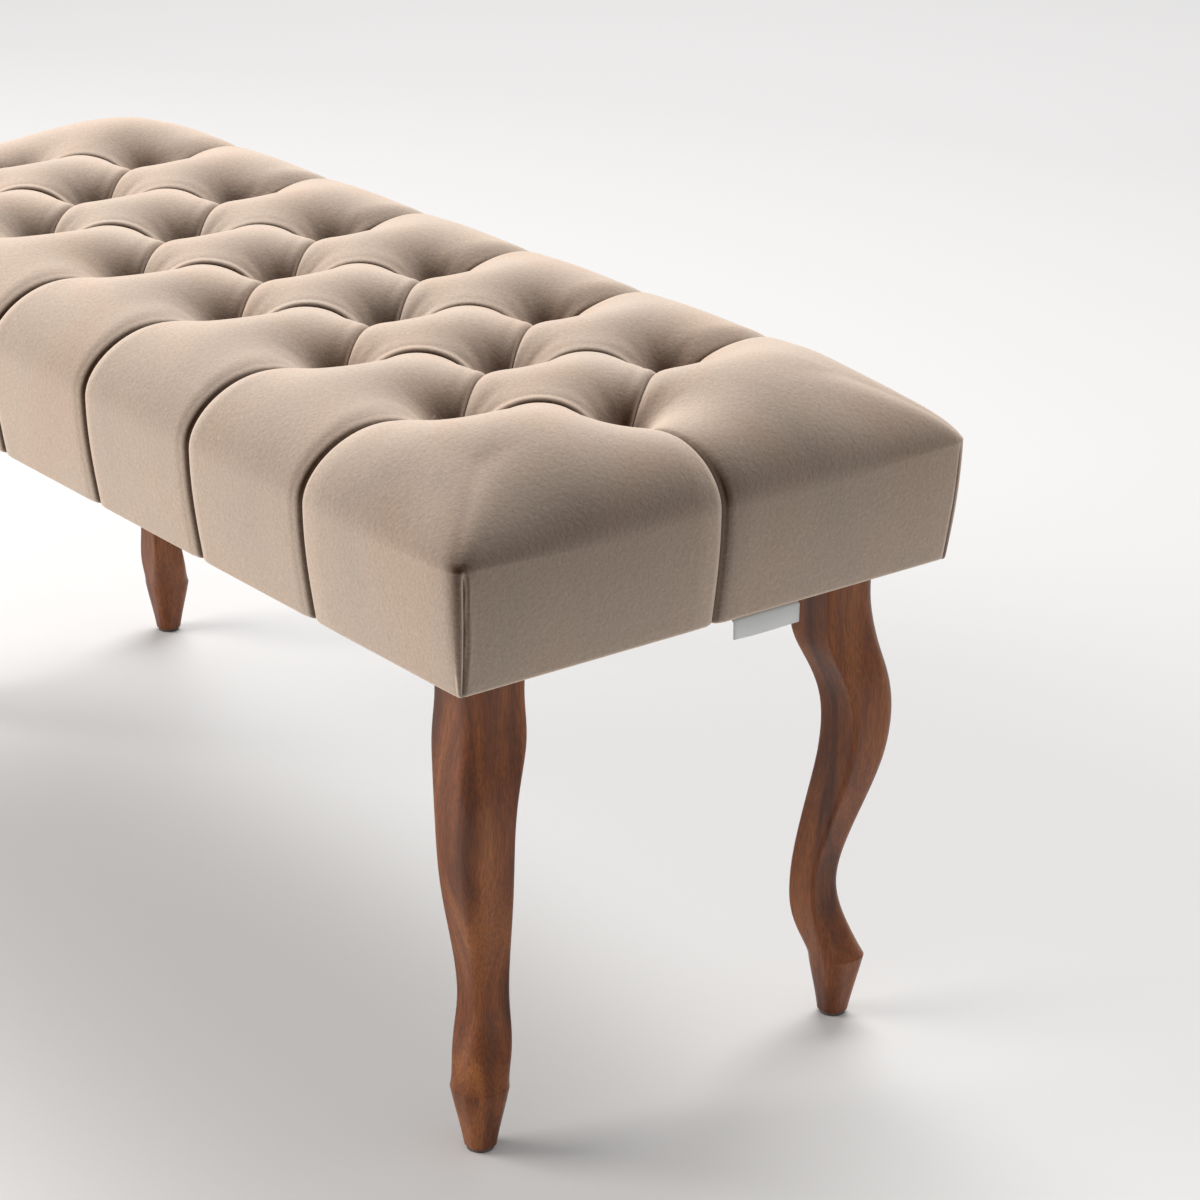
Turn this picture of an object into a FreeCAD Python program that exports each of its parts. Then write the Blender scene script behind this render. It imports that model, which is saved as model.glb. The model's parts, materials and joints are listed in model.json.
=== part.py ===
import FreeCAD, Part
import math
import os

# Upholstered bench: a tufted seat on a wooden frame, with four cabriole legs.
# Millimetres. The floor is at 0, the length lies along X, the width along Y, the height along Z.
# The long side that faces -Y is the front, and the end that faces +X is the right end.

# Seat outline, heights and softness
SEAT_LENGTH = 1000.0
SEAT_WIDTH = 400.0
SEAT_BOTTOM = 345.0
EDGE_HEIGHT = 425.0
CREST_HEIGHT = 484.5
SIDE_BULGE = 8.5
CROWN_RUN = 125.0
CROWN_POINTS = 8
CORNER_RADIUS = 14.0

# Tufts: an outer row near each long side, and a middle row half a pitch along from them
TUFT_PITCH = 135.65
TUFT_ROW_OFFSET = 90.0
OUTER_ROW_TUFTS = 6
MIDDLE_ROW_TUFTS = 7
TUFT_HEIGHT = 437.0
POCKET_RADIUS = 11.5
POCKET_MOUTH = 51.0
RIDGE_HEIGHT = 468.5
PLEAT_WIDTH = 38.0
TUFT_PLEAT_WIDTH = 47.0
PLEAT_FLAT = 0.6
MOUTH_RISE = 1.6
DIAGONAL_REACH = 0.6 * TUFT_PITCH
DIAGONAL_STEPS = 6
WIDTH_PER_OFFSET = 0.8
CLEAR_ABOVE = 530.0
CLEAR_ROUND = 50.0
CUT_OVERLAP = 1.0

# Straight pleats that run from the tufts over the sides and the ends
PLEAT_CREST_IN = 50.0
PLEAT_CREST_HEIGHT = 456.7
PLEAT_RUN = 47.4
PLEAT_DROP = 41.0
SIDE_PLEAT_WIDTH = 13.0
SIDE_PLEAT_REACH = 30.0
EDGE_NARROWING = 0.64
TUFT_TO_CREST_STEPS = 4
CREST_TURN_DEGREES = (0, 20, 40, 60, 76)
SIDE_HEIGHTS_BELOW = (341.0, 366.0, 391.0)
SIDE_HEIGHTS_ABOVE = (430.0, 443.0)

# Layers of the seat
COVER_THICKNESS = 1.5
WADDING_THICKNESS = 8.0
HEM_WIDTH = 26.0
HEM_THICKNESS = 1.2
DUST_COVER_THICKNESS = 0.6
DUST_COVER_INSET = 12.0

# Wooden frame and seat board
FRAME_LENGTH = 984.0
FRAME_WIDTH = 384.0
RAIL_THICKNESS = 22.0
RAIL_HEIGHT = 60.0
BOARD_THICKNESS = 12.0
BOARD_CORNER = 5.0
CROSS_RAIL_OFFSET = 170.0
CROSS_RAIL_THICKNESS = 20.0
BLOCK_SIZE = 75.0
BLOCK_THICKNESS = 28.0
BLOCK_CHAMFER = 32.0

# Buttons and twine
BUTTON_RADIUS = 10.0
BUTTON_RIM = 2.2
BUTTON_DOME = 4.0
BUTTON_GAP = 0.3
TWINE_RADIUS = 0.8
TWINE_HOLE = 1.1
BOARD_HOLE = 4.0
WASHER_RADIUS = 8.0
WASHER_THICKNESS = 2.0
KNOT_RADIUS = 2.4
WASHER_BORE = 1.2

# Legs: each foot stands this far in from both bottom edges of the seat
FOOT_INSET = 46.5
GLIDE_THICKNESS = 3.0
GLIDE_RADIUS = 9.0
LEG_TOP = SEAT_BOTTOM - DUST_COVER_THICKNESS
# Height, swing of the centre out along the diagonal, side of the square section
LEG_STATIONS = (
    (LEG_TOP, -9.6, 42.7),
    (328.0, -9.5, 42.8),
    (309.0, -9.1, 43.5),
    (290.0, -6.4, 45.2),
    (270.0, 1.2, 42.9),
    (250.0, 8.2, 39.9),
    (225.0, 10.4, 37.8),
    (200.0, 7.5, 36.2),
    (175.0, 1.1, 33.5),
    (150.0, -6.3, 30.0),
    (125.0, -12.8, 26.8),
    (101.0, -15.6, 25.9),
    (80.0, -12.7, 28.6),
    (62.0, -6.2, 32.2),
    (46.0, 1.2, 35.6),
)
FOOT_STATIONS = (
    (46.0, 1.2, 35.6),
    (37.0, 0.9, 32.4),
    (20.0, 0.5, 25.6),
    (GLIDE_THICKNESS, 0.0, 19.6),
)
OUTER_ARRIS = 0.28
SIDE_ARRIS = 0.10
FOOT_ARRIS = 0.38
ANKLE_HEIGHT = 80.0
RIM_HEIGHT = 46.0

# Leg fastenings
BOLT_RADIUS = 4.0
BOLT_CLEARANCE = 0.5
BOLT_CHAMFER = 1.0
BOLT_IN_LEG = 38.0
BOLT_ABOVE_LEG = 33.0
TEE_BARREL_RADIUS = 5.2
TEE_BARREL_LENGTH = 11.0
TEE_FLANGE_RADIUS = 11.0
TEE_FLANGE_THICKNESS = 1.5
PRONG_LENGTH = 7.0
PRONG_WIDTH = 2.2
PRONG_THICKNESS = 1.2
PRONG_CIRCLE = 8.6

# Screws and staples
SCREW_HEAD_RADIUS = 4.4
SCREW_HEAD_HEIGHT = 3.4
SCREW_SHANK_RADIUS = 2.1
SCREW_TIP = 4.0
SCREW_POINT_RADIUS = 0.3
FRAME_SCREW_LENGTH = 60.0
FRAME_SCREW_HEIGHTS = (15.0, 45.0)
BLOCK_SCREW_LENGTH = 45.0
BLOCK_SCREW_IN = 55.0
BOARD_SCREW_LENGTH = 35.0
BOARD_SCREW_SPACING = 200.0
BOARD_SCREW_END_OFFSET = 90.0
STAPLE_CROWN = 10.0
STAPLE_WIRE = 1.2
STAPLE_THICKNESS = 0.6
STAPLE_LEG = 8.0
STAPLE_SPACING = 60.0
END_STAPLE_SPACING = 51.0
COVER_STAPLE_INSET = 19.0
DUST_STAPLE_INSET = 23.0
LONG_STAPLE_CLEARANCE = 40.0
END_STAPLE_CLEARANCE = 30.0

# Blank care tag at the right end
TAG_WIDTH = 55.0
TAG_START = 16.0
TAG_DROP = 14.0
TAG_THICKNESS = 0.6
TAG_TAB = 10.0
TAG_INSET = 1.0

# Heights that follow from the layers
RAIL_BOTTOM = SEAT_BOTTOM + HEM_THICKNESS
RAIL_TOP = RAIL_BOTTOM + RAIL_HEIGHT
BOARD_TOP = RAIL_TOP + BOARD_THICKNESS
BLOCK_TOP = SEAT_BOTTOM + BLOCK_THICKNESS
CORNERS = {
    "back_right": (1, 1),
    "back_left": (-1, 1),
    "front_left": (-1, -1),
    "front_right": (1, -1),
}


def vec(x, y, z):
    return FreeCAD.Vector(x, y, z)


def line(start, end):
    return Part.LineSegment(start, end).toShape()


def arc(start, middle, end):
    return Part.Arc(start, middle, end).toShape()


def box(low, high):
    """Box between two opposite corners."""
    sides = [high[i] - low[i] for i in range(3)]
    return Part.makeBox(sides[0], sides[1], sides[2], vec(*low))


def centred_box(size_x, size_y, low, high):
    """Box of a given plan size, centred on the vertical axis."""
    return box((-size_x / 2, -size_y / 2, low), (size_x / 2, size_y / 2, high))


def rod(radius, low, high, x, y):
    """Upright round rod."""
    return Part.makeCylinder(radius, high - low, vec(x, y, low))


def ellipse_point(centre, radii, degrees):
    """Point of an ellipse, with the angle counted from the outer side upwards."""
    angle = math.radians(degrees)
    return (centre[0] + radii[0] * math.cos(angle), centre[1] + radii[1] * math.sin(angle))


# Seat form


def tuft_positions():
    """Where the twine pulls the seat down: the outer rows, then the middle row."""
    outer = []
    for side in (-1, 1):
        for k in range(OUTER_ROW_TUFTS):
            outer.append(((k - (OUTER_ROW_TUFTS - 1) / 2) * TUFT_PITCH, side * TUFT_ROW_OFFSET))
    middle = [((k - (MIDDLE_ROW_TUFTS - 1) / 2) * TUFT_PITCH, 0.0) for k in range(MIDDLE_ROW_TUFTS)]
    return outer, middle


def half_outline(half_size, offset):
    """Arcs of one side of the seat's cross-section: the drawn-in side, then the crown."""
    foot = half_size - offset
    edge = half_size + SIDE_BULGE - offset
    belly = half_size + SIDE_BULGE * math.sqrt(0.5) - offset
    belly_height = (SEAT_BOTTOM + EDGE_HEIGHT) / 2
    centre = (edge - CROWN_RUN + offset, EDGE_HEIGHT)
    radii = (CROWN_RUN - offset, CREST_HEIGHT - EDGE_HEIGHT - offset)
    crown = [ellipse_point(centre, radii, 90 / CROWN_POINTS * step) for step in range(CROWN_POINTS + 1)]
    arcs = [((foot, SEAT_BOTTOM), (belly, belly_height), crown[0])]
    for step in range(0, CROWN_POINTS, 2):
        arcs.append(tuple(crown[step:step + 3]))
    return arcs


def crown_prism(half_size, half_length, offset, along_x):
    """The seat's cross-section drawn out along the seat, or across it."""
    def place(point, side):
        if along_x:
            return vec(-half_length, side * point[0], point[1])
        return vec(side * point[0], -half_length, point[1])

    arcs = half_outline(half_size, offset)
    foot = arcs[0][0]
    top = arcs[-1][2]
    edges = [arc(place(a, 1), place(b, 1), place(c, 1)) for a, b, c in arcs]
    edges.append(line(place(top, 1), place(top, -1)))
    edges += [arc(place(c, -1), place(b, -1), place(a, -1)) for a, b, c in reversed(arcs)]
    edges.append(line(place(foot, -1), place(foot, 1)))
    run = vec(2 * half_length, 0, 0) if along_x else vec(0, 2 * half_length, 0)
    return Part.Face(Part.Wire(edges)).extrude(run)


def rounded_prism(half_x, half_y, radius, low, high):
    """Upright prism of a rectangle with four round corners."""
    prism = box((-half_x, -half_y, low), (half_x, half_y, high))
    upright = [edge for edge in prism.Edges if edge.BoundBox.ZLength > 1]
    return prism.makeFillet(radius, upright)


def crown_body(offset):
    """The seat before tufting, set in by offset all round."""
    half_x = SEAT_LENGTH / 2
    half_y = SEAT_WIDTH / 2
    lengthwise = crown_prism(half_y, half_x + 2 * SIDE_BULGE, offset, True)
    crosswise = crown_prism(half_x, half_y + 2 * SIDE_BULGE, offset, False)
    reach = SIDE_BULGE - offset
    low = SEAT_BOTTOM - CUT_OVERLAP
    outline = rounded_prism(half_x + reach, half_y + reach, CORNER_RADIUS, low, CLEAR_ABOVE)
    return lengthwise.common(crosswise).common(outline)


def flank_middle(run, depth):
    """Middle point of the arc that rises from a pleat's bottom and levels out at its mouth."""
    radius = (run * run + depth * depth) / (2 * depth)
    angle = (math.atan2(radius - depth, -run) + math.pi / 2) / 2
    return (run + radius * math.cos(angle), depth - radius + radius * math.sin(angle))


def pleat_section(bottom, across, out, width, depth, reach):
    """Section of the space over a pleat: two round flanks from a narrow bottom, open outwards."""
    def at(side, height):
        return bottom + across * side + out * height

    middle_run, middle_height = flank_middle(width - PLEAT_FLAT, depth)
    middle = PLEAT_FLAT + middle_run
    return Part.Wire([
        line(at(-PLEAT_FLAT, 0), at(PLEAT_FLAT, 0)),
        arc(at(PLEAT_FLAT, 0), at(middle, middle_height), at(width, depth)),
        line(at(width, depth), at(width, reach)),
        line(at(width, reach), at(-width, reach)),
        line(at(-width, reach), at(-width, depth)),
        arc(at(-width, depth), at(-middle, middle_height), at(-PLEAT_FLAT, 0)),
    ])


def pocket(x, y, offset):
    """Funnel over one tuft."""
    low = TUFT_HEIGHT - offset
    high = CREST_HEIGHT + MOUTH_RISE - offset
    radius = POCKET_RADIUS + offset
    mouth = max(POCKET_MOUTH + offset, radius + high - low)
    middle_run, middle_height = flank_middle(mouth - radius, high - low)
    middle = vec(x + radius + middle_run, y, low + middle_height)
    profile = Part.Wire([
        line(vec(x, y, low), vec(x + radius, y, low)),
        arc(vec(x + radius, y, low), middle, vec(x + mouth, y, high)),
        line(vec(x + mouth, y, high), vec(x + mouth, y, CLEAR_ABOVE)),
        line(vec(x + mouth, y, CLEAR_ABOVE), vec(x, y, CLEAR_ABOVE)),
        line(vec(x, y, CLEAR_ABOVE), vec(x, y, low)),
    ])
    return Part.Face(profile).revolve(vec(x, y, 0), vec(0, 0, 1), 360)


def diagonal_pleat(start, end, offset):
    """Space over the pleat between two neighbouring tufts: its bottom rises to a ridge halfway."""
    first = vec(start[0], start[1], 0)
    run = vec(end[0], end[1], 0) - first
    across = vec(run.y, -run.x, 0).normalize()
    mouth = CREST_HEIGHT + MOUTH_RISE - offset
    sections = []
    for step in range(DIAGONAL_STEPS + 1):
        share = step / DIAGONAL_STEPS
        rise = (RIDGE_HEIGHT - TUFT_HEIGHT) * math.sin(math.pi * share)
        bottom = first + run * share + vec(0, 0, TUFT_HEIGHT + rise - offset)
        depth = mouth - bottom.z
        width = PLEAT_WIDTH + (TUFT_PLEAT_WIDTH - PLEAT_WIDTH) * abs(1 - 2 * share)
        width = width + WIDTH_PER_OFFSET * offset
        width = max(width, depth + 2 * PLEAT_FLAT)
        sections.append(pleat_section(bottom, across, vec(0, 0, 1), width, depth, CLEAR_ABOVE - bottom.z))
    return Part.makeLoft(sections, True, False)


def crown_height(inset, offset):
    """Height of the untufted seat at a distance in from its widest line."""
    run = CROWN_RUN - offset
    share = max(0.0, min(1.0, (inset - offset) / run))
    return EDGE_HEIGHT + (CREST_HEIGHT - EDGE_HEIGHT - offset) * math.sqrt(1 - (1 - share) ** 2)


def side_reach(z):
    """How far the untufted side stands out of its bottom edge."""
    share = (min(z, EDGE_HEIGHT) - SEAT_BOTTOM) / (EDGE_HEIGHT - SEAT_BOTTOM)
    return SIDE_BULGE * math.sin(max(share, 0.0) * math.pi / 2)


def straight_pleat(tuft, out, half_size, offset):
    """Spaces over the pleat that runs from a tuft over the edge and down the side."""
    edge = half_size + SIDE_BULGE
    across = vec(out.y, -out.x, 0)
    place = vec(tuft[0], tuft[1], 0)
    tuft_in = edge - abs(place.dot(out))
    base = place + out * tuft_in
    low = PLEAT_CREST_HEIGHT - PLEAT_DROP
    run = PLEAT_RUN - offset
    drop = PLEAT_DROP - offset
    stations = []
    for step in range(TUFT_TO_CREST_STEPS):
        share = step / TUFT_TO_CREST_STEPS
        inset = tuft_in + (PLEAT_CREST_IN - tuft_in) * share
        rise = (PLEAT_CREST_HEIGHT - TUFT_HEIGHT) * math.sin(share * math.pi / 2)
        stations.append((inset, TUFT_HEIGHT + rise - offset))
    for degrees in CREST_TURN_DEGREES:
        angle = math.radians(degrees)
        stations.append((PLEAT_CREST_IN - run * math.sin(angle), low + drop * math.cos(angle)))
    top_sections = []
    for inset, z in stations:
        depth = crown_height(inset, offset) + MOUTH_RISE - z
        share = max(0.0, (inset - PLEAT_CREST_IN) / (tuft_in - PLEAT_CREST_IN))
        width = PLEAT_WIDTH + (TUFT_PLEAT_WIDTH - PLEAT_WIDTH) * share
        narrowing = EDGE_NARROWING * max(0.0, 1 - inset / PLEAT_CREST_IN)
        width = width * (1 - narrowing) + WIDTH_PER_OFFSET * offset
        width = max(width, depth + 2 * PLEAT_FLAT)
        bottom = base - out * inset + vec(0, 0, z)
        top_sections.append(pleat_section(bottom, across, vec(0, 0, 1), width, depth, CLEAR_ABOVE - z))
    side_sections = []
    for z in (*SIDE_HEIGHTS_BELOW, low, *SIDE_HEIGHTS_ABOVE):
        climb = max(0.0, min(1.0, (z - low) / drop))
        inset = PLEAT_CREST_IN - run * math.sqrt(1 - climb * climb)
        surface_in = SIDE_BULGE - side_reach(z) + offset
        if z > EDGE_HEIGHT:
            share = (z - EDGE_HEIGHT) / (CREST_HEIGHT - EDGE_HEIGHT - offset)
            surface_in = offset + (CROWN_RUN - offset) * (1 - math.sqrt(1 - share * share))
        if z < low:
            inset = inset + SIDE_BULGE - side_reach(z)
        depth = inset - surface_in + CUT_OVERLAP
        width = SIDE_PLEAT_WIDTH + depth + WIDTH_PER_OFFSET * offset
        bottom = base - out * inset + vec(0, 0, z)
        side_sections.append(pleat_section(bottom, across, out, width, depth, SIDE_PLEAT_REACH))
    return [Part.makeLoft(top_sections, True, False), Part.makeLoft(side_sections, True, False)]


def tufted_form(offset):
    """The tufted seat, set in by offset from its outside."""
    outer, middle = tuft_positions()
    spaces = [pocket(x, y, offset) for x, y in outer + middle]
    for start in middle:
        for end in outer:
            if abs(start[0] - end[0]) < DIAGONAL_REACH:
                spaces.append(diagonal_pleat(start, end, offset))
    for tuft in outer:
        spaces += straight_pleat(tuft, vec(0, math.copysign(1, tuft[1]), 0), SEAT_WIDTH / 2, offset)
    for tuft in (middle[0], middle[-1]):
        spaces += straight_pleat(tuft, vec(math.copysign(1, tuft[0]), 0, 0), SEAT_LENGTH / 2, offset)
    form = crown_body(offset)
    for space in spaces:
        form = form.cut(space)
    return form


# Seat layers


def twine_holes():
    outer, middle = tuft_positions()
    return Part.makeCompound([rod(TWINE_HOLE, SEAT_BOTTOM, CREST_HEIGHT, x, y) for x, y in outer + middle])


def upper_part(form, height):
    """What lies above a height."""
    length = SEAT_LENGTH + 2 * CLEAR_ROUND
    width = SEAT_WIDTH + 2 * CLEAR_ROUND
    return form.common(centred_box(length, width, height, CLEAR_ABOVE))


def make_cover(outside, inside, staples):
    """Velvet cover with its hem turned under the rails."""
    length = SEAT_LENGTH - 2 * HEM_WIDTH
    width = SEAT_WIDTH - 2 * HEM_WIDTH
    opening = centred_box(length, width, SEAT_BOTTOM - CUT_OVERLAP, RAIL_BOTTOM + CUT_OVERLAP)
    cover = outside.cut(upper_part(inside, RAIL_BOTTOM)).cut(opening)
    return cover.cut(twine_holes()).cut(staples)


def make_foam_pad(core):
    """Foam block on the seat board."""
    return upper_part(core, BOARD_TOP).cut(twine_holes())


def make_wadding(inside, foam):
    """Wadding over the foam and down the outside of the frame."""
    frame = centred_box(FRAME_LENGTH, FRAME_WIDTH, RAIL_BOTTOM - CUT_OVERLAP, BOARD_TOP)
    return upper_part(inside, RAIL_BOTTOM).cut(frame).cut(foam).cut(twine_holes())


def make_buttons():
    """Covered buttons at the bottom of the pockets, each a short drum under a round cap."""
    outer, middle = tuft_positions()
    low = TUFT_HEIGHT + BUTTON_GAP
    shoulder = low + BUTTON_RIM
    cap_radius = (BUTTON_RADIUS ** 2 + BUTTON_DOME ** 2) / (2 * BUTTON_DOME)
    cap_centre = shoulder + BUTTON_DOME - cap_radius
    half_turn = math.asin(BUTTON_RADIUS / cap_radius) / 2
    buttons = []
    for x, y in outer + middle:
        rim = vec(x + BUTTON_RADIUS, y, shoulder)
        halfway = vec(x + cap_radius * math.sin(half_turn), y, cap_centre + cap_radius * math.cos(half_turn))
        top = vec(x, y, shoulder + BUTTON_DOME)
        profile = Part.Wire([
            line(vec(x, y, low), vec(x + BUTTON_RADIUS, y, low)),
            line(vec(x + BUTTON_RADIUS, y, low), rim),
            arc(rim, halfway, top),
            line(top, vec(x, y, low)),
        ])
        buttons.append(Part.Face(profile).revolve(vec(x, y, 0), vec(0, 0, 1), 360))
    return Part.makeCompound(buttons)


def make_twine():
    """Twine from each button down through the board, knotted under its washer."""
    outer, middle = tuft_positions()
    low = RAIL_TOP - WASHER_THICKNESS - KNOT_RADIUS
    pieces = []
    for x, y in outer + middle:
        strand = rod(TWINE_RADIUS, low, TUFT_HEIGHT + BUTTON_GAP, x, y)
        pieces.append(strand.fuse(Part.makeSphere(KNOT_RADIUS, vec(x, y, low))))
    return Part.makeCompound(pieces)


def make_washers():
    """Flat washers that hold the knots under the board."""
    outer, middle = tuft_positions()
    low = RAIL_TOP - WASHER_THICKNESS
    washers = []
    for x, y in outer + middle:
        disc = rod(WASHER_RADIUS, low, RAIL_TOP, x, y)
        washers.append(disc.cut(rod(WASHER_BORE, low - CUT_OVERLAP, RAIL_TOP + CUT_OVERLAP, x, y)))
    return Part.makeCompound(washers)


# Fastenings


def screw(head, direction, length):
    """Countersunk screw, with its head flush at a point."""
    cone = Part.makeCone(SCREW_HEAD_RADIUS, SCREW_SHANK_RADIUS, SCREW_HEAD_HEIGHT, head, direction)
    shank = Part.makeCylinder(SCREW_SHANK_RADIUS, length - SCREW_TIP, head, direction)
    tip_start = head + direction * (length - SCREW_TIP)
    tip = Part.makeCone(SCREW_SHANK_RADIUS, SCREW_POINT_RADIUS, SCREW_TIP, tip_start, direction)
    return cone.fuse(shank).fuse(tip)


def make_frame_screws():
    """Screws through the long rails into the ends of the end rails and the cross rails."""
    screws = []
    end_x = FRAME_LENGTH / 2 - RAIL_THICKNESS / 2
    for side in (-1, 1):
        for x in (-end_x, -CROSS_RAIL_OFFSET, CROSS_RAIL_OFFSET, end_x):
            for height in FRAME_SCREW_HEIGHTS:
                head = vec(x, side * FRAME_WIDTH / 2, RAIL_BOTTOM + height)
                screws.append(screw(head, vec(0, -side, 0), FRAME_SCREW_LENGTH))
    return Part.makeCompound(screws)


def make_block_screws():
    """Screws through the rails into the corner blocks."""
    screws = []
    height = SEAT_BOTTOM + BLOCK_THICKNESS / 2
    x = FRAME_LENGTH / 2
    y = FRAME_WIDTH / 2
    inset = RAIL_THICKNESS + BLOCK_SCREW_IN
    for sx, sy in CORNERS.values():
        screws.append(screw(vec(sx * (x - inset), sy * y, height), vec(0, -sy, 0), BLOCK_SCREW_LENGTH))
        screws.append(screw(vec(sx * x, sy * (y - inset), height), vec(-sx, 0, 0), BLOCK_SCREW_LENGTH))
    return Part.makeCompound(screws)


def make_board_screws():
    """Screws down through the seat board into the rails."""
    rail_x = (FRAME_LENGTH - RAIL_THICKNESS) / 2
    rail_y = (FRAME_WIDTH - RAIL_THICKNESS) / 2
    places = [(BOARD_SCREW_SPACING * k, side * rail_y) for k in range(-2, 3) for side in (-1, 1)]
    places += [(sx * rail_x, sy * BOARD_SCREW_END_OFFSET) for sx in (-1, 1) for sy in (-1, 1)]
    down = vec(0, 0, -1)
    return Part.makeCompound([screw(vec(x, y, BOARD_TOP), down, BOARD_SCREW_LENGTH) for x, y in places])


def staple(x, y, low, along_x):
    """Staple driven upwards, with its crown flush at its low side."""
    half = STAPLE_CROWN / 2
    wire = STAPLE_WIRE / 2
    size = (half, wire) if along_x else (wire, half)
    crown = box((x - size[0], y - size[1], low), (x + size[0], y + size[1], low + STAPLE_THICKNESS))
    for side in (-1, 1):
        shift = side * (half - STAPLE_THICKNESS / 2)
        cx, cy = (x + shift, y) if along_x else (x, y + shift)
        reach = (STAPLE_THICKNESS / 2, wire) if along_x else (wire, STAPLE_THICKNESS / 2)
        prong = box((cx - reach[0], cy - reach[1], low), (cx + reach[0], cy + reach[1], low + STAPLE_LEG))
        crown = crown.fuse(prong)
    return crown


def staple_row(low, inset, shift):
    """Staples all round the underside of the frame, shifted by a share of their spacing."""
    line_x = SEAT_LENGTH / 2 - inset
    line_y = SEAT_WIDTH / 2 - inset
    staples = []
    long_count = int((line_x - LONG_STAPLE_CLEARANCE) / STAPLE_SPACING)
    end_count = int((line_y - END_STAPLE_CLEARANCE) / STAPLE_SPACING)
    for side in (-1, 1):
        for k in range(-long_count, long_count + 1):
            staples.append(staple((k + shift) * STAPLE_SPACING, side * line_y, low, True))
        for k in range(-end_count, end_count + 1):
            staples.append(staple(side * line_x, (k + shift / 2) * END_STAPLE_SPACING, low, False))
    return Part.makeCompound(staples)


# Frame


def make_rails(cuts):
    """Two long rails with the two end rails between them."""
    outer_x = FRAME_LENGTH / 2
    outer_y = FRAME_WIDTH / 2
    inner_x = outer_x - RAIL_THICKNESS
    inner_y = outer_y - RAIL_THICKNESS
    rails = {
        "front_rail": box((-outer_x, -outer_y, RAIL_BOTTOM), (outer_x, -inner_y, RAIL_TOP)),
        "back_rail": box((-outer_x, inner_y, RAIL_BOTTOM), (outer_x, outer_y, RAIL_TOP)),
        "left_end_rail": box((-outer_x, -inner_y, RAIL_BOTTOM), (-inner_x, inner_y, RAIL_TOP)),
        "right_end_rail": box((inner_x, -inner_y, RAIL_BOTTOM), (outer_x, inner_y, RAIL_TOP)),
    }
    for name, side in (("left_cross_rail", -1), ("right_cross_rail", 1)):
        low = side * CROSS_RAIL_OFFSET - CROSS_RAIL_THICKNESS / 2
        rails[name] = box((low, -inner_y, RAIL_BOTTOM), (low + CROSS_RAIL_THICKNESS, inner_y, RAIL_TOP))
    return {name: rail.cut(cuts) for name, rail in rails.items()}


def make_seat_board(cuts):
    """Plywood board with a hole under each tuft."""
    outer, middle = tuft_positions()
    board = rounded_prism(FRAME_LENGTH / 2, FRAME_WIDTH / 2, BOARD_CORNER, RAIL_TOP, BOARD_TOP)
    low = RAIL_TOP - CUT_OVERLAP
    holes = [rod(BOARD_HOLE, low, BOARD_TOP + CUT_OVERLAP, x, y) for x, y in outer + middle]
    return board.cut(Part.makeCompound(holes)).cut(cuts)


def make_corner_block(sx, sy, cuts):
    """Block in a corner of the frame that carries the leg, with its inner corner cut off."""
    x = sx * (FRAME_LENGTH / 2 - RAIL_THICKNESS)
    y = sy * (FRAME_WIDTH / 2 - RAIL_THICKNESS)
    far_x = x - sx * BLOCK_SIZE
    far_y = y - sy * BLOCK_SIZE
    corners = [
        vec(x, y, SEAT_BOTTOM),
        vec(far_x, y, SEAT_BOTTOM),
        vec(far_x, far_y + sy * BLOCK_CHAMFER, SEAT_BOTTOM),
        vec(far_x + sx * BLOCK_CHAMFER, far_y, SEAT_BOTTOM),
        vec(x, far_y, SEAT_BOTTOM),
    ]
    outline = Part.makePolygon(corners + corners[:1])
    block = Part.Face(outline).extrude(vec(0, 0, BLOCK_THICKNESS))
    bolt_x, bolt_y = bolt_place(sx, sy)
    low = SEAT_BOTTOM - CUT_OVERLAP
    clearance = rod(BOLT_RADIUS + BOLT_CLEARANCE, low, BLOCK_TOP + CUT_OVERLAP, bolt_x, bolt_y)
    return block.cut(clearance).cut(tee_nut(sx, sy)).cut(cuts)


# Legs


def foot_place(sx, sy):
    return (sx * (SEAT_LENGTH / 2 - FOOT_INSET), sy * (SEAT_WIDTH / 2 - FOOT_INSET))


def bolt_place(sx, sy):
    """Axis of the bolt: the middle of the leg's top."""
    swing = LEG_STATIONS[0][1] * math.sqrt(0.5)
    x, y = foot_place(sx, sy)
    return (x + sx * swing, y + sy * swing)


def leg_section(z, swing, side, outer_radius, side_radius):
    """Square section with round arrises, swung out along the diagonal of +X and +Y."""
    centre = swing * math.sqrt(0.5)
    half = side / 2
    edges = []
    turn = 1 - math.sqrt(0.5)
    radii = (outer_radius, side_radius, side_radius, side_radius)
    corners = ((1, 1), (-1, 1), (-1, -1), (1, -1))
    points = []
    for i, (sx, sy) in enumerate(corners):
        r = radii[i]
        x = centre + sx * half
        y = centre + sy * half
        along_x = vec(x - sx * r, y, z)
        along_y = vec(x, y - sy * r, z)
        middle = vec(x - sx * r * turn, y - sy * r * turn, z)
        ends = (along_y, along_x) if i % 2 == 0 else (along_x, along_y)
        points.append((ends[0], middle, ends[1]))
    for i, (start, middle, end) in enumerate(points):
        edges.append(arc(start, middle, end))
        edges.append(line(end, points[(i + 1) % 4][0]))
    return Part.Wire(edges)


def arris_radii(z, side):
    """The outer arris is rounder than the others, and all of them are round towards the foot."""
    share = max(0.0, min(1.0, (ANKLE_HEIGHT - z) / (ANKLE_HEIGHT - RIM_HEIGHT)))
    outer = OUTER_ARRIS + (FOOT_ARRIS - OUTER_ARRIS) * share
    other = SIDE_ARRIS + (FOOT_ARRIS - SIDE_ARRIS) * share
    return (outer * side, other * side)


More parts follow.
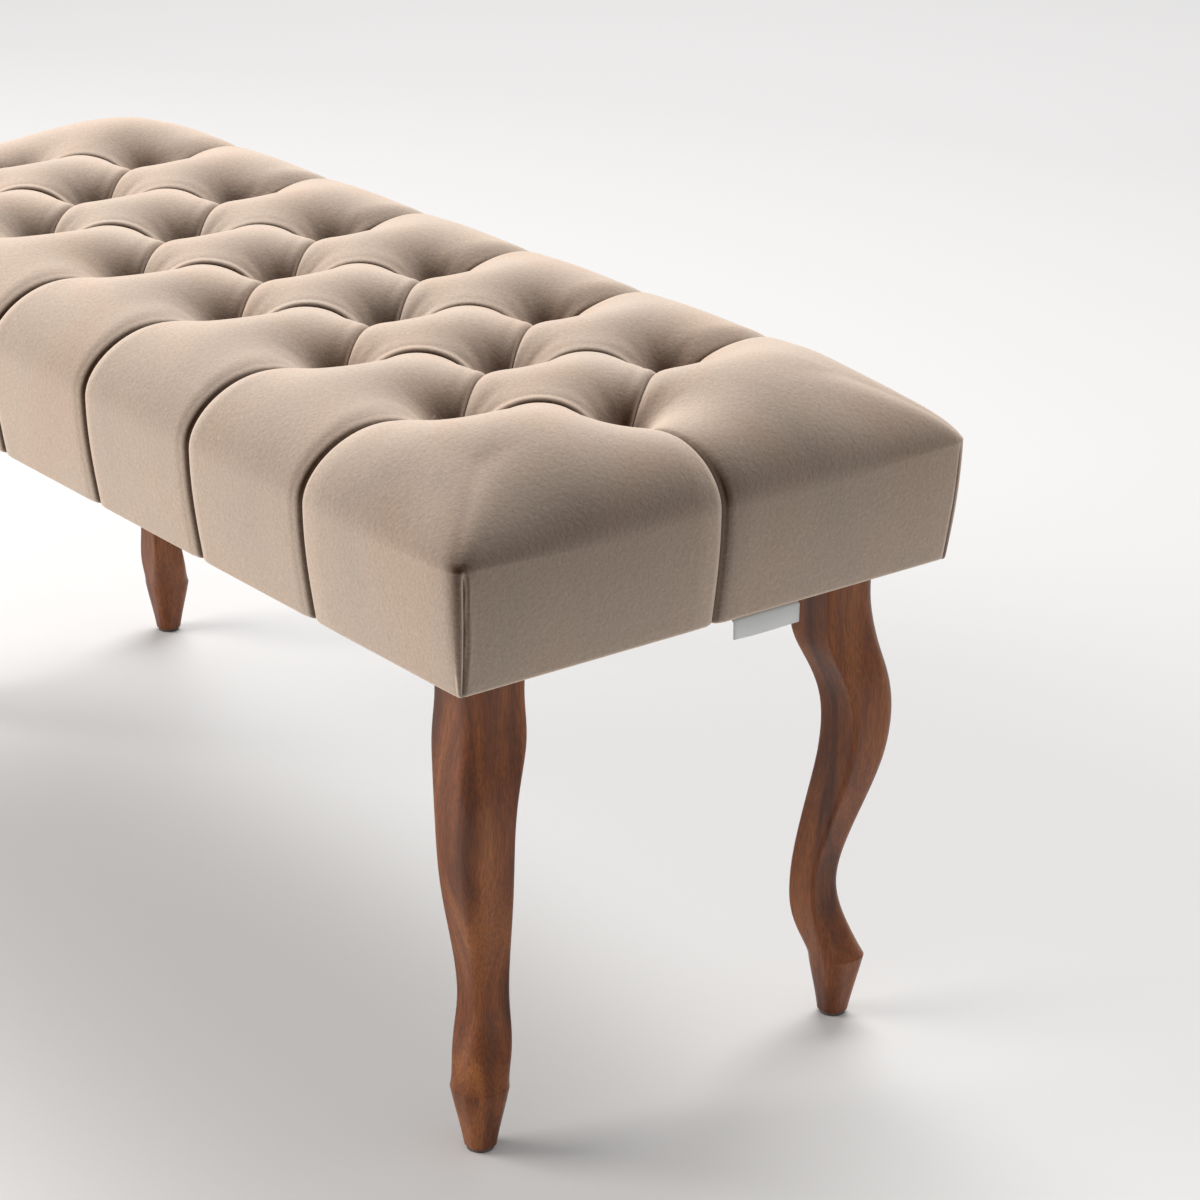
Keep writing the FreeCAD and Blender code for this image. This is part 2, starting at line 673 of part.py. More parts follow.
def make_leg(sx, sy):
    """Cabriole leg: square stock that swings out at the knee and in at the ankle, on a pad foot."""
    solids = []
    for stations in (LEG_STATIONS, FOOT_STATIONS):
        sections = [leg_section(z, swing, side, *arris_radii(z, side)) for z, swing, side in stations]
        solids.append(Part.makeLoft(sections, True, False))
    leg = solids[0].fuse(solids[1])
    turns = {(1, 1): 0, (-1, 1): 90, (-1, -1): 180, (1, -1): 270}
    leg.rotate(vec(0, 0, 0), vec(0, 0, 1), turns[(sx, sy)])
    x, y = foot_place(sx, sy)
    leg.translate(vec(x, y, 0))
    bolt_x, bolt_y = bolt_place(sx, sy)
    return leg.cut(rod(BOLT_RADIUS, LEG_TOP - BOLT_IN_LEG, LEG_TOP + CUT_OVERLAP, bolt_x, bolt_y))


def make_hanger_bolts():
    """Bolts that stand in the tops of the legs."""
    bolts = []
    for sx, sy in CORNERS.values():
        x, y = bolt_place(sx, sy)
        bolt = rod(BOLT_RADIUS, LEG_TOP - BOLT_IN_LEG, LEG_TOP + BOLT_ABOVE_LEG, x, y)
        ends = [edge for edge in bolt.Edges if edge.Closed and edge.BoundBox.ZLength < BOLT_CHAMFER]
        bolts.append(bolt.makeChamfer(BOLT_CHAMFER, ends))
    return Part.makeCompound(bolts)


def tee_nut(sx, sy):
    """Tee nut with its flange on top of a corner block, without its bore."""
    x, y = bolt_place(sx, sy)
    nut = rod(TEE_BARREL_RADIUS, BLOCK_TOP - TEE_BARREL_LENGTH, BLOCK_TOP, x, y)
    nut = nut.fuse(rod(TEE_FLANGE_RADIUS, BLOCK_TOP, BLOCK_TOP + TEE_FLANGE_THICKNESS, x, y))
    for k in range(4):
        low = (x + PRONG_CIRCLE, y - PRONG_WIDTH / 2, BLOCK_TOP - PRONG_LENGTH)
        high = (x + PRONG_CIRCLE + PRONG_THICKNESS, y + PRONG_WIDTH / 2, BLOCK_TOP)
        prong = box(low, high)
        prong.rotate(vec(x, y, 0), vec(0, 0, 1), 90 * k)
        nut = nut.fuse(prong)
    return nut


def make_tee_nuts():
    nuts = []
    for sx, sy in CORNERS.values():
        x, y = bolt_place(sx, sy)
        nuts.append(tee_nut(sx, sy).cut(rod(BOLT_RADIUS, SEAT_BOTTOM, BLOCK_TOP + CLEAR_ROUND, x, y)))
    return Part.makeCompound(nuts)


def make_glide(sx, sy):
    """Felt pad under a foot."""
    x, y = foot_place(sx, sy)
    return rod(GLIDE_RADIUS, 0.0, GLIDE_THICKNESS, x, y)


# Underside and tag


def make_dust_cover(cuts):
    """Thin cloth across the underside, with a hole for each bolt."""
    size_x = SEAT_LENGTH - 2 * DUST_COVER_INSET
    size_y = SEAT_WIDTH - 2 * DUST_COVER_INSET
    cloth = centred_box(size_x, size_y, LEG_TOP, SEAT_BOTTOM)
    for sx, sy in CORNERS.values():
        x, y = bolt_place(sx, sy)
        cloth = cloth.cut(rod(BOLT_RADIUS, LEG_TOP - CUT_OVERLAP, SEAT_BOTTOM + CUT_OVERLAP, x, y))
    return cloth.cut(cuts)


def make_care_tag():
    """Blank folded tape that hangs from the bottom edge of the right end."""
    edge = SEAT_LENGTH / 2 - TAG_INSET
    end = TAG_START + TAG_WIDTH
    tab = box((edge - TAG_TAB, TAG_START, LEG_TOP), (edge, end, SEAT_BOTTOM))
    drop = box((edge - TAG_THICKNESS, TAG_START, SEAT_BOTTOM - TAG_DROP), (edge, end, SEAT_BOTTOM))
    return tab.fuse(drop).removeSplitter()


def make_parts():
    """Every piece of the bench by its name."""
    parts = {}
    inside = tufted_form(COVER_THICKNESS)
    core = tufted_form(COVER_THICKNESS + WADDING_THICKNESS)
    cover_staples = staple_row(SEAT_BOTTOM, COVER_STAPLE_INSET, 0.0)
    dust_staples = staple_row(LEG_TOP, DUST_STAPLE_INSET, 0.5)
    frame_screws = make_frame_screws()
    block_screws = make_block_screws()
    board_screws = make_board_screws()
    metal = Part.makeCompound([cover_staples, dust_staples, frame_screws, block_screws, board_screws])

    parts.update(make_rails(metal))
    parts["seat_board"] = make_seat_board(board_screws)
    for corner, (sx, sy) in CORNERS.items():
        parts["corner_block_" + corner] = make_corner_block(sx, sy, block_screws)
        parts["leg_" + corner] = make_leg(sx, sy)
        parts["felt_glide_" + corner] = make_glide(sx, sy)

    parts["foam_pad"] = make_foam_pad(core)
    parts["wadding"] = make_wadding(inside, parts["foam_pad"])
    parts["cover"] = make_cover(tufted_form(0.0), inside, Part.makeCompound([cover_staples, dust_staples]))
    parts["tuft_buttons"] = make_buttons()
    parts["tuft_twine"] = make_twine()
    parts["twine_washers"] = make_washers()

    parts["frame_screws"] = frame_screws
    parts["corner_block_screws"] = block_screws
    parts["board_screws"] = board_screws
    parts["cover_staples"] = cover_staples
    parts["dust_cover_staples"] = dust_staples
    parts["hanger_bolts"] = make_hanger_bolts()
    parts["tee_nuts"] = make_tee_nuts()
    parts["dust_cover"] = make_dust_cover(dust_staples)
    parts["care_tag"] = make_care_tag()
    return parts


def main():
    os.makedirs("parts", exist_ok=True)
    for name, shape in make_parts().items():
        shape.exportStep("parts/" + name + ".step")
        print(name, len(shape.Solids), "solids", round(shape.Volume / 1000.0, 2), "cm3", shape.isValid())


main()
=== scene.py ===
import json
import math

import bmesh
import bpy
import numpy as np
from mathutils import Matrix, Vector


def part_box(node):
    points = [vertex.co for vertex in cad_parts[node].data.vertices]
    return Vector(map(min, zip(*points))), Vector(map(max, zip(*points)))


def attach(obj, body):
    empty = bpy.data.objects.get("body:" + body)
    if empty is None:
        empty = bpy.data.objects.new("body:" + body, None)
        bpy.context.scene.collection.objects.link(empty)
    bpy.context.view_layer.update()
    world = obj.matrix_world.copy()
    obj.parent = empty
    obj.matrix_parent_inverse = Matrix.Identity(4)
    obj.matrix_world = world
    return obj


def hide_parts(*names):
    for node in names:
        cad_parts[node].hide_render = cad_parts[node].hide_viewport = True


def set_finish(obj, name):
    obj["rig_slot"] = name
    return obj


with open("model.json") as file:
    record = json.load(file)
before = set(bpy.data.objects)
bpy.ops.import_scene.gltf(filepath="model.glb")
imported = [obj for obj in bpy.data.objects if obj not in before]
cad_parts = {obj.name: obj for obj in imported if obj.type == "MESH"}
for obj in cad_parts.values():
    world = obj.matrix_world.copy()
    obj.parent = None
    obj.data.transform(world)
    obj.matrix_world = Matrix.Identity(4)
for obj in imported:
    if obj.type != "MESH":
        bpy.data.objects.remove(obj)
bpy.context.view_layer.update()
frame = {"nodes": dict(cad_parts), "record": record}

# Metres. The bench stands on the floor at 0, its length lies along X and its front faces -Y.
MM = 0.001

# Outside of the seat, as the frame has it
COVER_LOW, COVER_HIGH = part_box("cover")
HALF_LENGTH = COVER_HIGH[0]
HALF_WIDTH = COVER_HIGH[1]
SEAT_BOTTOM = COVER_LOW[2]
EDGE_HEIGHT = 425 * MM
CREST_HEIGHT = 488 * MM
CROWN_RISE = CREST_HEIGHT - EDGE_HEIGHT
CROWN_RUN = 125 * MM
CROWN_ROUND = 1.9
CROWN_POWER = 0.52
CORNER_POWER = 0.76
BACK_RISE = 2 * MM
BACK_RISE_START = -60 * MM
BACK_RISE_END = 120 * MM
CORNER_LIFT = 5 * MM
CORNER_LIFT_START = 0.5
CORNER_LIFT_FADE = 60 * MM
SIDE_BULGE = 8.5 * MM

# Roundness of the crown's contours at the corners: soft near the top, tight at the widest line
INNER_CORNER = 2.8
OUTER_CORNER = 24
CORNER_TIGHTENING = 1.2
CORNERING_START = 0.15
CORNERING_END = 0.9

# Tufts
TUFT_PITCH = 135.65 * MM
TUFT_ROW_OFFSET = 90 * MM
OUTER_ROW_TUFTS = 6
MIDDLE_ROW_TUFTS = 7
TUFT_HEIGHT = 437 * MM
POCKET_DEPTH = CREST_HEIGHT - TUFT_HEIGHT
FUNNEL_STEEPNESS = 21 * MM
FUNNEL_REACH = 74 * MM
FUNNEL_CORE = 5 * MM
FUNNEL_BLEND = 3 * MM
FUNNEL_NEAREST = 0.2 * MM
WRINKLE_DEPTH = 0.55 * MM
WRINKLE_RADIUS = 27 * MM
WRINKLE_WIDTH = 12 * MM

# Wrinkles around a tuft: how many waves, and how far each tuft turns them from the one before
WRINKLE_WAVES = ((9, 2.1), (5, 1.3))

# Pleats: how deep they pull the cover in, and how wide the pillows bend beside them
DIAGONAL_DEPTH = 4 * MM
DIAGONAL_FLANK = 16 * MM
SIDE_PLEAT_DEPTH = 3 * MM
SIDE_PLEAT_FLANK = 13 * MM
TOP_PLEAT_DEPTH = 5.5 * MM
BACK_PLEAT_DEPTH = 9 * MM
TOP_PLEAT_FLANK = 24 * MM
TOP_PLEAT_PLACE = 56 * MM
TOP_PLEAT_START = 34 * MM
TOP_PLEAT_END = 48 * MM
TOP_FLANK_END = 60 * MM
PLEAT_BLEND = 4
FLANK_POWER = 2.2
PLEAT_REACH = 0.6

# Folds along the pleats
CREVICE_DEPTH = 7 * MM
CREVICE_WIDTH = 0.8 * MM
CREVICE_POWER = 1.5
FOLD_TIP = 0.6 * MM
FOLD_REACH = 14 * MM
FOLD_START = 6 * MM
DIAGONAL_FOLD_FULL = 22 * MM
STRAIGHT_FOLD_FULL = 30 * MM
BACK_FOLD_SHARE = 0.35

# Lip of a fold: its height, the band that it is raised over, and how far it leans over the line
FRONT_DIAGONAL_LIP = 2.4 * MM
DIAGONAL_LIP = 1.1 * MM
DIAGONAL_BAND = 7 * MM
END_LIP = 0.8 * MM
END_BAND = 11 * MM
SIDE_LIP = 0.5 * MM
SIDE_BAND = 7 * MM
LIP_FALL_START = 0.55
LIP_LEAN = 0.9
LIP_LEAN_WIDTH = 2.2 * MM
UNDER_LIP_WIDTH = 3.4 * MM

# Room that hidden layers leave under a fold
CLEARANCE_MORE = 1 * MM
CLEARANCE_WIDTH = 3 * MM

# Upright fold at each corner of the seat
CORNER_FOLD_IN = 5 * MM
CORNER_FOLD_DRIFT = 0.035
CORNER_FOLD_DEPTH = 4.5 * MM
CORNER_FOLD_START = 1 * MM
CORNER_FOLD_FULL = 9 * MM
CORNER_FOLD_SOFT = 1.1 * MM
CORNER_FOLD_SOFT_POWER = 1.2
CORNER_FOLD_SHARP = 0.9 * MM
CORNER_FOLD_LIP = 0.5 * MM
CORNER_LIP_PLACE = 2.2 * MM
CORNER_LIP_WIDTH = 1.6 * MM

# Thicknesses and the turned-under hem
COVER_THICKNESS = 1.5 * MM
WADDING_THICKNESS = 8 * MM
HEM_WIDTH = 26 * MM
HEM_THICKNESS = 1.2 * MM
EDGE_ROUND = 3 * MM
EDGE_TURNS = (30, 60)
COVER_HEM_INSETS = (EDGE_ROUND, 9 * MM, 17 * MM, HEM_WIDTH)
LINING_HEM_INSETS = (12 * MM, HEM_WIDTH)
COVER_GAP = 1.5 * MM
FOAM_OVERLAP = 1.6 * MM
BOARD_GAP = 0.1 * MM

# Spacing of the mesh: fine beside the pleats and at the corners, coarse on the hidden layers
NEAR_STEPS = [step * MM for step in (0, 0.45, 1.0, 1.8, 3.0, 5.0, 7.8)]
COARSE_STEPS = [step * MM for step in (0, 3, 8)]
CORNER_STEPS = [step * MM for step in (-12, -7, -3.5, -1, 1, 2.4, 3.4, 4.2, 5, 5.8, 6.6, 7.6, 9, 11.5, 16)]
FEWEST_PLAIN_COLUMNS = 4
SIDE_ROWS_EVEN = 0.4
WIDENED_UNTIL = 0.25
MERGE_DISTANCE = 0.02 * MM

# Numerical steps
NORMAL_STEP = 0.4 * MM
ARC_SAMPLES = 200
ROW_SAMPLES = 240
OUTLINE_SAMPLES = 120
TINY = 1e-9

# Button
BUTTON_GATHERS = 14
BUTTON_GATHER_DEPTH = 0.025
BUTTON_GATHER_START = 0.6
BUTTON_WAIST = 0.36

# Slack of the underside cloth
SLACK_DEPTH = 1.8 * MM
SLACK_MARGIN = 30 * MM
SLACK_FULL_ALONG = 150 * MM
SLACK_FULL_ACROSS = 110 * MM
RIPPLE_DEPTH = 0.35 * MM
RIPPLE_LENGTH = 38 * MM
RIPPLE_SWAY = 2
RIPPLE_SWAY_LENGTH = 60 * MM

# Tape
TAPE_HALF_THICKNESS = 0.15 * MM
TAPE_COLUMNS = 12
TAPE_CURL = 0.8 * MM
TAPE_CURL_WAVES = 1.4
TAPE_SLANT = 0.8 * MM


def tuft_positions():
    """The outer rows of tufts, front then back, and the middle row."""
    outer = []
    for side in (-1, 1):
        for k in range(OUTER_ROW_TUFTS):
            outer.append(((k - (OUTER_ROW_TUFTS - 1) / 2) * TUFT_PITCH, side * TUFT_ROW_OFFSET))
    middle = [((k - (MIDDLE_ROW_TUFTS - 1) / 2) * TUFT_PITCH, 0.0) for k in range(MIDDLE_ROW_TUFTS)]
    return outer, middle


OUTER_TUFTS, MIDDLE_TUFTS = tuft_positions()
DIAGONAL = math.hypot(TUFT_PITCH / 2, TUFT_ROW_OFFSET)


# Seat form


def smooth(value, start, end):
    """0 before start, 1 after end, and an even S curve between them."""
    share = np.clip((value - start) / (end - start), 0, 1)
    return share * share * (3 - 2 * share)


def side_shares(x, y):
    """How far out over the crown a point lies, towards an end and towards a long side."""
    along = np.maximum(0, 1 - (HALF_LENGTH - np.abs(x)) / CROWN_RUN)
    across = np.maximum(0, 1 - (HALF_WIDTH - np.abs(y)) / CROWN_RUN)
    return along, across, np.maximum(np.maximum(along, across), TINY)


def crown_share(x, y):
    """0 on the flat top, 1 at the widest line of the seat."""
    along, across, most = side_shares(x, y)
    outer = np.clip(2 * most - 1, 0, 1) ** CORNER_TIGHTENING
    power = INNER_CORNER * (OUTER_CORNER / INNER_CORNER) ** outer
    return most * ((along / most) ** power + (across / most) ** power) ** (1 / power)


def cornering(x, y):
    """1 on the line that runs out to a corner of the seat, 0 beside the middles of its sides."""
    along, across, most = side_shares(x, y)
    evenness = (2 * along * across / (along ** 2 + across ** 2 + TINY)) ** 2
    return evenness * smooth(most, CORNERING_START, CORNERING_END)


def crown_height(x, y):
    """The crown is round over the sides and runs down to the corners as a slope."""
    power = CROWN_POWER + (CORNER_POWER - CROWN_POWER) * cornering(x, y)
    inside = np.maximum(0, 1 - crown_share(x, y) ** CROWN_ROUND)
    lift = CORNER_LIFT * cornering(x, y) * smooth(crown_share(x, y), CORNER_LIFT_START, 1.0)
    rise = CROWN_RISE + BACK_RISE * smooth(y, BACK_RISE_START, BACK_RISE_END)
    return EDGE_HEIGHT + lift + (rise - lift) * inside ** power


def crown_normal(x, y):
    """Way out of the crown's surface."""
    step = NORMAL_STEP
    share = crown_share(x, y)
    slope_x = (crown_share(x + step, y) - crown_share(x - step, y)) / (2 * step)
    slope_y = (crown_share(x, y + step) - crown_share(x, y - step)) / (2 * step)
    power = CROWN_POWER + (CORNER_POWER - CROWN_POWER) * cornering(x, y)
    out = share ** (CROWN_ROUND - 1)
    rise = np.maximum(0, 1 - share ** CROWN_ROUND) ** (1 - power) / (CROWN_ROUND * power * CROWN_RISE)
    normal = np.stack([out * slope_x, out * slope_y, rise], axis=-1)
    return normal / np.maximum(np.linalg.norm(normal, axis=-1, keepdims=True), TINY)


def crown_arc(inset):
    """Distance over the crown from the widest line to a point that lies so far in."""
    turns = np.linspace(0, math.pi / 2, ARC_SAMPLES)
    insets = CROWN_RUN * (1 - np.cos(turns))
    steps = np.hypot(np.diff(insets), np.diff(CROWN_RISE * np.sin(turns)))
    arcs = np.concatenate([[0], np.cumsum(steps)])
    return np.interp(inset, insets, arcs) + np.maximum(0, inset - CROWN_RUN)


def flank(share):
    """Rise of a pillow from its pleat: steepest at first, level at the end."""
    return 1 - (1 - np.clip(share, 0, 1)) ** FLANK_POWER


def straight_pleats():
    """Each straight pleat: its tuft, the way it runs, and the half size of the seat there."""
    pleats = [(tuft, (0, math.copysign(1, tuft[1])), HALF_WIDTH) for tuft in OUTER_TUFTS]
    for tuft in (MIDDLE_TUFTS[0], MIDDLE_TUFTS[-1]):
        pleats.append((tuft, (math.copysign(1, tuft[0]), 0), HALF_LENGTH))
    return pleats


def diagonal_pleats():
    """Each pleat from a middle tuft to a neighbour in an outer row."""
    reach = PLEAT_REACH * TUFT_PITCH
    return [(m, o) for m in MIDDLE_TUFTS for o in OUTER_TUFTS if abs(m[0] - o[0]) < reach]


def funnel(radius):
    """Pull of a tuft on the cloth around it: steep beside the button, faint half a pitch away."""
    pull = FUNNEL_STEEPNESS * np.log(FUNNEL_REACH / np.maximum(radius - FUNNEL_CORE, FUNNEL_NEAREST))
    return FUNNEL_BLEND * np.logaddexp(0, pull / FUNNEL_BLEND)


def press(x, y, below):
    """How far the tufts and pleats pull the cover in. Below is the distance under the widest line."""
    pull = np.zeros_like(x)
    for k, (tuft_x, tuft_y) in enumerate(OUTER_TUFTS + MIDDLE_TUFTS):
        radius = np.sqrt((x - tuft_x) ** 2 + (y - tuft_y) ** 2 + below ** 2)
        angle = np.arctan2(y - tuft_y, x - tuft_x)
        wrinkle = np.prod([np.sin(waves * angle + turn * k) for waves, turn in WRINKLE_WAVES], axis=0)
        ring = np.exp(-((radius - WRINKLE_RADIUS) / WRINKLE_WIDTH) ** 2)
        pull += funnel(radius) + WRINKLE_DEPTH * wrinkle * ring
    crease = np.zeros_like(x)
    for start, end in diagonal_pleats():
        run = np.array(end) - np.array(start)
        share = np.clip(((x - start[0]) * run[0] + (y - start[1]) * run[1]) / run.dot(run), 0, 1)
        distance = np.hypot(x - start[0] - share * run[0], y - start[1] - share * run[1])
        crease += (DIAGONAL_DEPTH * (1 - flank(distance / DIAGONAL_FLANK))) ** PLEAT_BLEND
    for tuft, out, half_size in straight_pleats():
        outward = x * out[0] + y * out[1]
        aside = np.abs((x - tuft[0]) * out[1]) + np.abs((y - tuft[1]) * out[0])
        tuft_out = abs(tuft[0] * out[0] + tuft[1] * out[1])
        along = crown_arc(half_size - tuft_out) - crown_arc(np.maximum(0, half_size - outward)) + below
        beyond = np.maximum(0, -along)
        past = along - TOP_PLEAT_PLACE
        top = np.exp(-(past / np.where(past > 0, TOP_PLEAT_END, TOP_PLEAT_START)) ** 2)
        most = BACK_PLEAT_DEPTH if out[1] > 0 else TOP_PLEAT_DEPTH
        depth = SIDE_PLEAT_DEPTH + (most - SIDE_PLEAT_DEPTH) * top
        wide = np.exp(-(np.maximum(0, along - TOP_PLEAT_START) / TOP_FLANK_END) ** 2)
        width = SIDE_PLEAT_FLANK + (TOP_PLEAT_FLANK - SIDE_PLEAT_FLANK) * wide
        crease += (depth * (1 - flank(np.hypot(aside, beyond) / width))) ** PLEAT_BLEND
    return np.minimum(pull + crease ** (1 / PLEAT_BLEND), POCKET_DEPTH)


# Folds of the pleats. A fold lies over its neighbour on one side of its line: "over" is 1 there and -1 on
# the other side.


def fold(distance, over, lip, band):
    """Inward depth and sideways shift beside a fold line. The shift goes towards the line."""
    beside = 1 - np.exp(-(distance / FOLD_TIP) ** 2)
    crevice = CREVICE_DEPTH * np.exp(-(distance / CREVICE_WIDTH) ** CREVICE_POWER)
    raised = lip * (1 - smooth(distance, LIP_FALL_START * band, band))
    lowered = lip * np.exp(-(distance / UNDER_LIP_WIDTH) ** 2)
    depth = crevice + beside * np.where(over > 0, -raised, lowered)
    lean = LIP_LEAN * lip * np.exp(-(distance / LIP_LEAN_WIDTH) ** 2)
    return depth, beside * np.where(over > 0, lean, 0)


def clearance(distance):
    """How much deeper a hidden layer lies under a fold line, so that it stays under the cover."""
    return (CREVICE_DEPTH + CLEARANCE_MORE) * np.exp(-(distance / CLEARANCE_WIDTH) ** 2)


def fold_moves(x, y, middle, hidden):
    """Depth and sideways moves of every fold line near the points.
    The middle of a panel tells on which side of a line its points lie."""
    middle_x, middle_y = middle
    depth = np.zeros_like(x)
    move_x = np.zeros_like(x)
    move_y = np.zeros_like(x)
    for start, end in diagonal_pleats():
        run = np.array(end) - np.array(start)
        length = np.linalg.norm(run)
        run = run / length
        normal = np.array((run[1], -run[0])) if run[1] > 0 else np.array((-run[1], run[0]))
        along = (x - start[0]) * run[0] + (y - start[1]) * run[1]
        aside = (x - start[0]) * normal[0] + (y - start[1]) * normal[1]
        panel_side = np.sign((middle_x - start[0]) * normal[0] + (middle_y - start[1]) * normal[1])
        near = smooth(along, FOLD_START, DIAGONAL_FOLD_FULL)
        near = near * smooth(length - along, FOLD_START, DIAGONAL_FOLD_FULL)
        near = near * (np.abs(aside) < FOLD_REACH) * (along > 0) * (along < length)
        if hidden:
            part, shift = clearance(np.abs(aside)), 0
        else:
            faces_camera = run[0] * run[1] > 0 and end[1] < 0
            lip = FRONT_DIAGONAL_LIP if faces_camera else DIAGONAL_LIP
            part, shift = fold(np.abs(aside), -panel_side, lip, DIAGONAL_BAND)
        depth += near * part
        move_x += near * shift * -panel_side * normal[0]
        move_y += near * shift * -panel_side * normal[1]
    for tuft, out, _ in straight_pleats():
        outward = x * out[0] + y * out[1] - abs(tuft[0] * out[0] + tuft[1] * out[1])
        if out[0]:
            aside = y - tuft[1]
            panel_side = np.sign(middle_y - tuft[1])
            over, lip, band = panel_side, END_LIP, END_BAND
        else:
            aside = x - tuft[0]
            panel_side = np.sign(middle_x - tuft[0])
            over, lip, band = -panel_side, SIDE_LIP, SIDE_BAND
        near = smooth(outward, FOLD_START, STRAIGHT_FOLD_FULL) * (np.abs(aside) < FOLD_REACH)
        near = near * (BACK_FOLD_SHARE if out[1] > 0 else 1.0)
        if hidden:
            part, shift = clearance(np.abs(aside)), 0
        else:
            part, shift = fold(np.abs(aside), over, lip, band)
        depth += near * part
        move_x += near * shift * -panel_side * (1 - abs(out[0]))
        move_y += near * shift * -panel_side * abs(out[0])
    return depth, move_x, move_y


# Panels between the pleats


def spread(length, near, spacing):
    """Distances along a pleat, close together at both of its ends."""
    room = length - 2 * near[-1]
    count = max(1, round(room / spacing))
    middle = [near[-1] + room * k / count for k in range(1, count)]
    return np.array(list(near) + middle + [length - step for step in reversed(near)])


def outline_points():
    """Widest line of the seat for x and y above 0, from the long side to the end, and its length."""
    turn = np.linspace(0, 0.5 ** (1 / OUTER_CORNER), OUTLINE_SAMPLES)
    other = (1 - turn ** OUTER_CORNER) ** (1 / OUTER_CORNER)
    along = np.concatenate([turn, other[::-1][1:]])
    across = np.concatenate([other, turn[::-1][1:]])
    x = np.concatenate([[0], HALF_LENGTH - CROWN_RUN * (1 - along), [HALF_LENGTH]])
    y = np.concatenate([[HALF_WIDTH], HALF_WIDTH - CROWN_RUN * (1 - across), [0]])
    lengths = np.concatenate([[0], np.cumsum(np.hypot(np.diff(x), np.diff(y)))])
    return x, y, lengths


OUTLINE_X, OUTLINE_Y, OUTLINE_LENGTHS = outline_points()
CORNER_PLACE = OUTLINE_LENGTHS[-1] / 2 + (HALF_LENGTH - HALF_WIDTH) / 2


def outline_at(place):
    """Point of the outline at a distance along it."""
    return np.interp(place, OUTLINE_LENGTHS, OUTLINE_X), np.interp(place, OUTLINE_LENGTHS, OUTLINE_Y)


def place_grid(target, points, flip):
    """Adds a grid whose vertices lie at points[column, row] to the target bmesh."""
    columns, rows = points.shape[:2]
    panel = bmesh.new()
    bmesh.ops.create_grid(panel, x_segments=columns - 1, y_segments=rows - 1, size=0.5)
    for vertex in panel.verts:
        column = round((vertex.co.x + 0.5) * (columns - 1))
        row = round((vertex.co.y + 0.5) * (rows - 1))
        vertex.co = points[column, row]
    if flip:
        bmesh.ops.reverse_faces(panel, faces=panel.faces[:])
    add_mesh(target, panel)


def add_mesh(target, part):
    """Moves what a bmesh holds into another one."""
    mesh = bpy.data.meshes.new("part")
    part.to_mesh(mesh)
    part.free()
    target.from_mesh(mesh)
    bpy.data.meshes.remove(mesh)


class Layer:
    """One tufted surface: how far it is set in, how fine it is and where it ends."""

    def __init__(self, offset, near, spacing, top_rows, side_rows, floor, hem=None, folds=False):
        self.offset = offset
        self.near = near
        self.spacing = spacing
        self.top_rows = top_rows
        self.side_rows = side_rows
        self.floor = floor
        self.hem = hem
        self.folds = folds


def settle(layer, base, normal, x, y, below, middle):
    """Moves points of the untufted seat in to where the layer lies."""
    extra, shift_x, shift_y = fold_moves(x, y, middle, hidden=not layer.folds)
    depth = press(x, y, below) + layer.offset + extra
    moved = base - normal * depth[..., None]
    moved[..., 0] += shift_x
    moved[..., 1] += shift_y
    return moved


def diamond_points(layer, j):
    """Pillow between two middle tufts and the outer tufts beside them."""
    share = spread(DIAGONAL, layer.near, layer.spacing) / DIAGONAL
    start = np.array(MIDDLE_TUFTS[j])
    to_front = np.array(OUTER_TUFTS[j]) - start
    to_back = np.array(OUTER_TUFTS[j + OUTER_ROW_TUFTS]) - start
    plan = start + share[:, None, None] * to_front + share[None, :, None] * to_back
    x = plan[..., 0]
    y = plan[..., 1]
    base = np.stack([x, y, crown_height(x, y)], axis=-1)
    middle = (start[0] + TUFT_PITCH / 2, 0.0)
    return settle(layer, base, crown_normal(x, y), x, y, np.zeros_like(x), middle)


def crown_rows(layer, start, end, near):
    """Plan points of the rows between an inner border and the widest line, spaced over the crown.
    Near holds the distances of the first rows, for all columns or for each of them."""
    fine = 1 - (1 - np.linspace(0, 1, ROW_SAMPLES)) ** 2
    plan = start[:, None, :] + (end - start)[:, None, :] * fine[None, :, None]
    height = crown_height(plan[..., 0], plan[..., 1])
    steps = np.sqrt(np.sum(np.diff(plan, axis=1) ** 2, axis=-1) + np.diff(height, axis=1) ** 2)
    arcs = np.concatenate([np.zeros((len(start), 1)), np.cumsum(steps, axis=1)], axis=1)
    shares = []
    for arc, first in zip(arcs, np.broadcast_to(near, (len(start), near.shape[-1]))):
        rest = first[-1] + (arc[-1] - first[-1]) * np.arange(1, layer.top_rows + 1) / layer.top_rows
        shares.append(np.interp(np.concatenate([first, rest]), arc, fine))
    return start[:, None, :] + (end - start)[:, None, :] * np.stack(shares)[..., None]


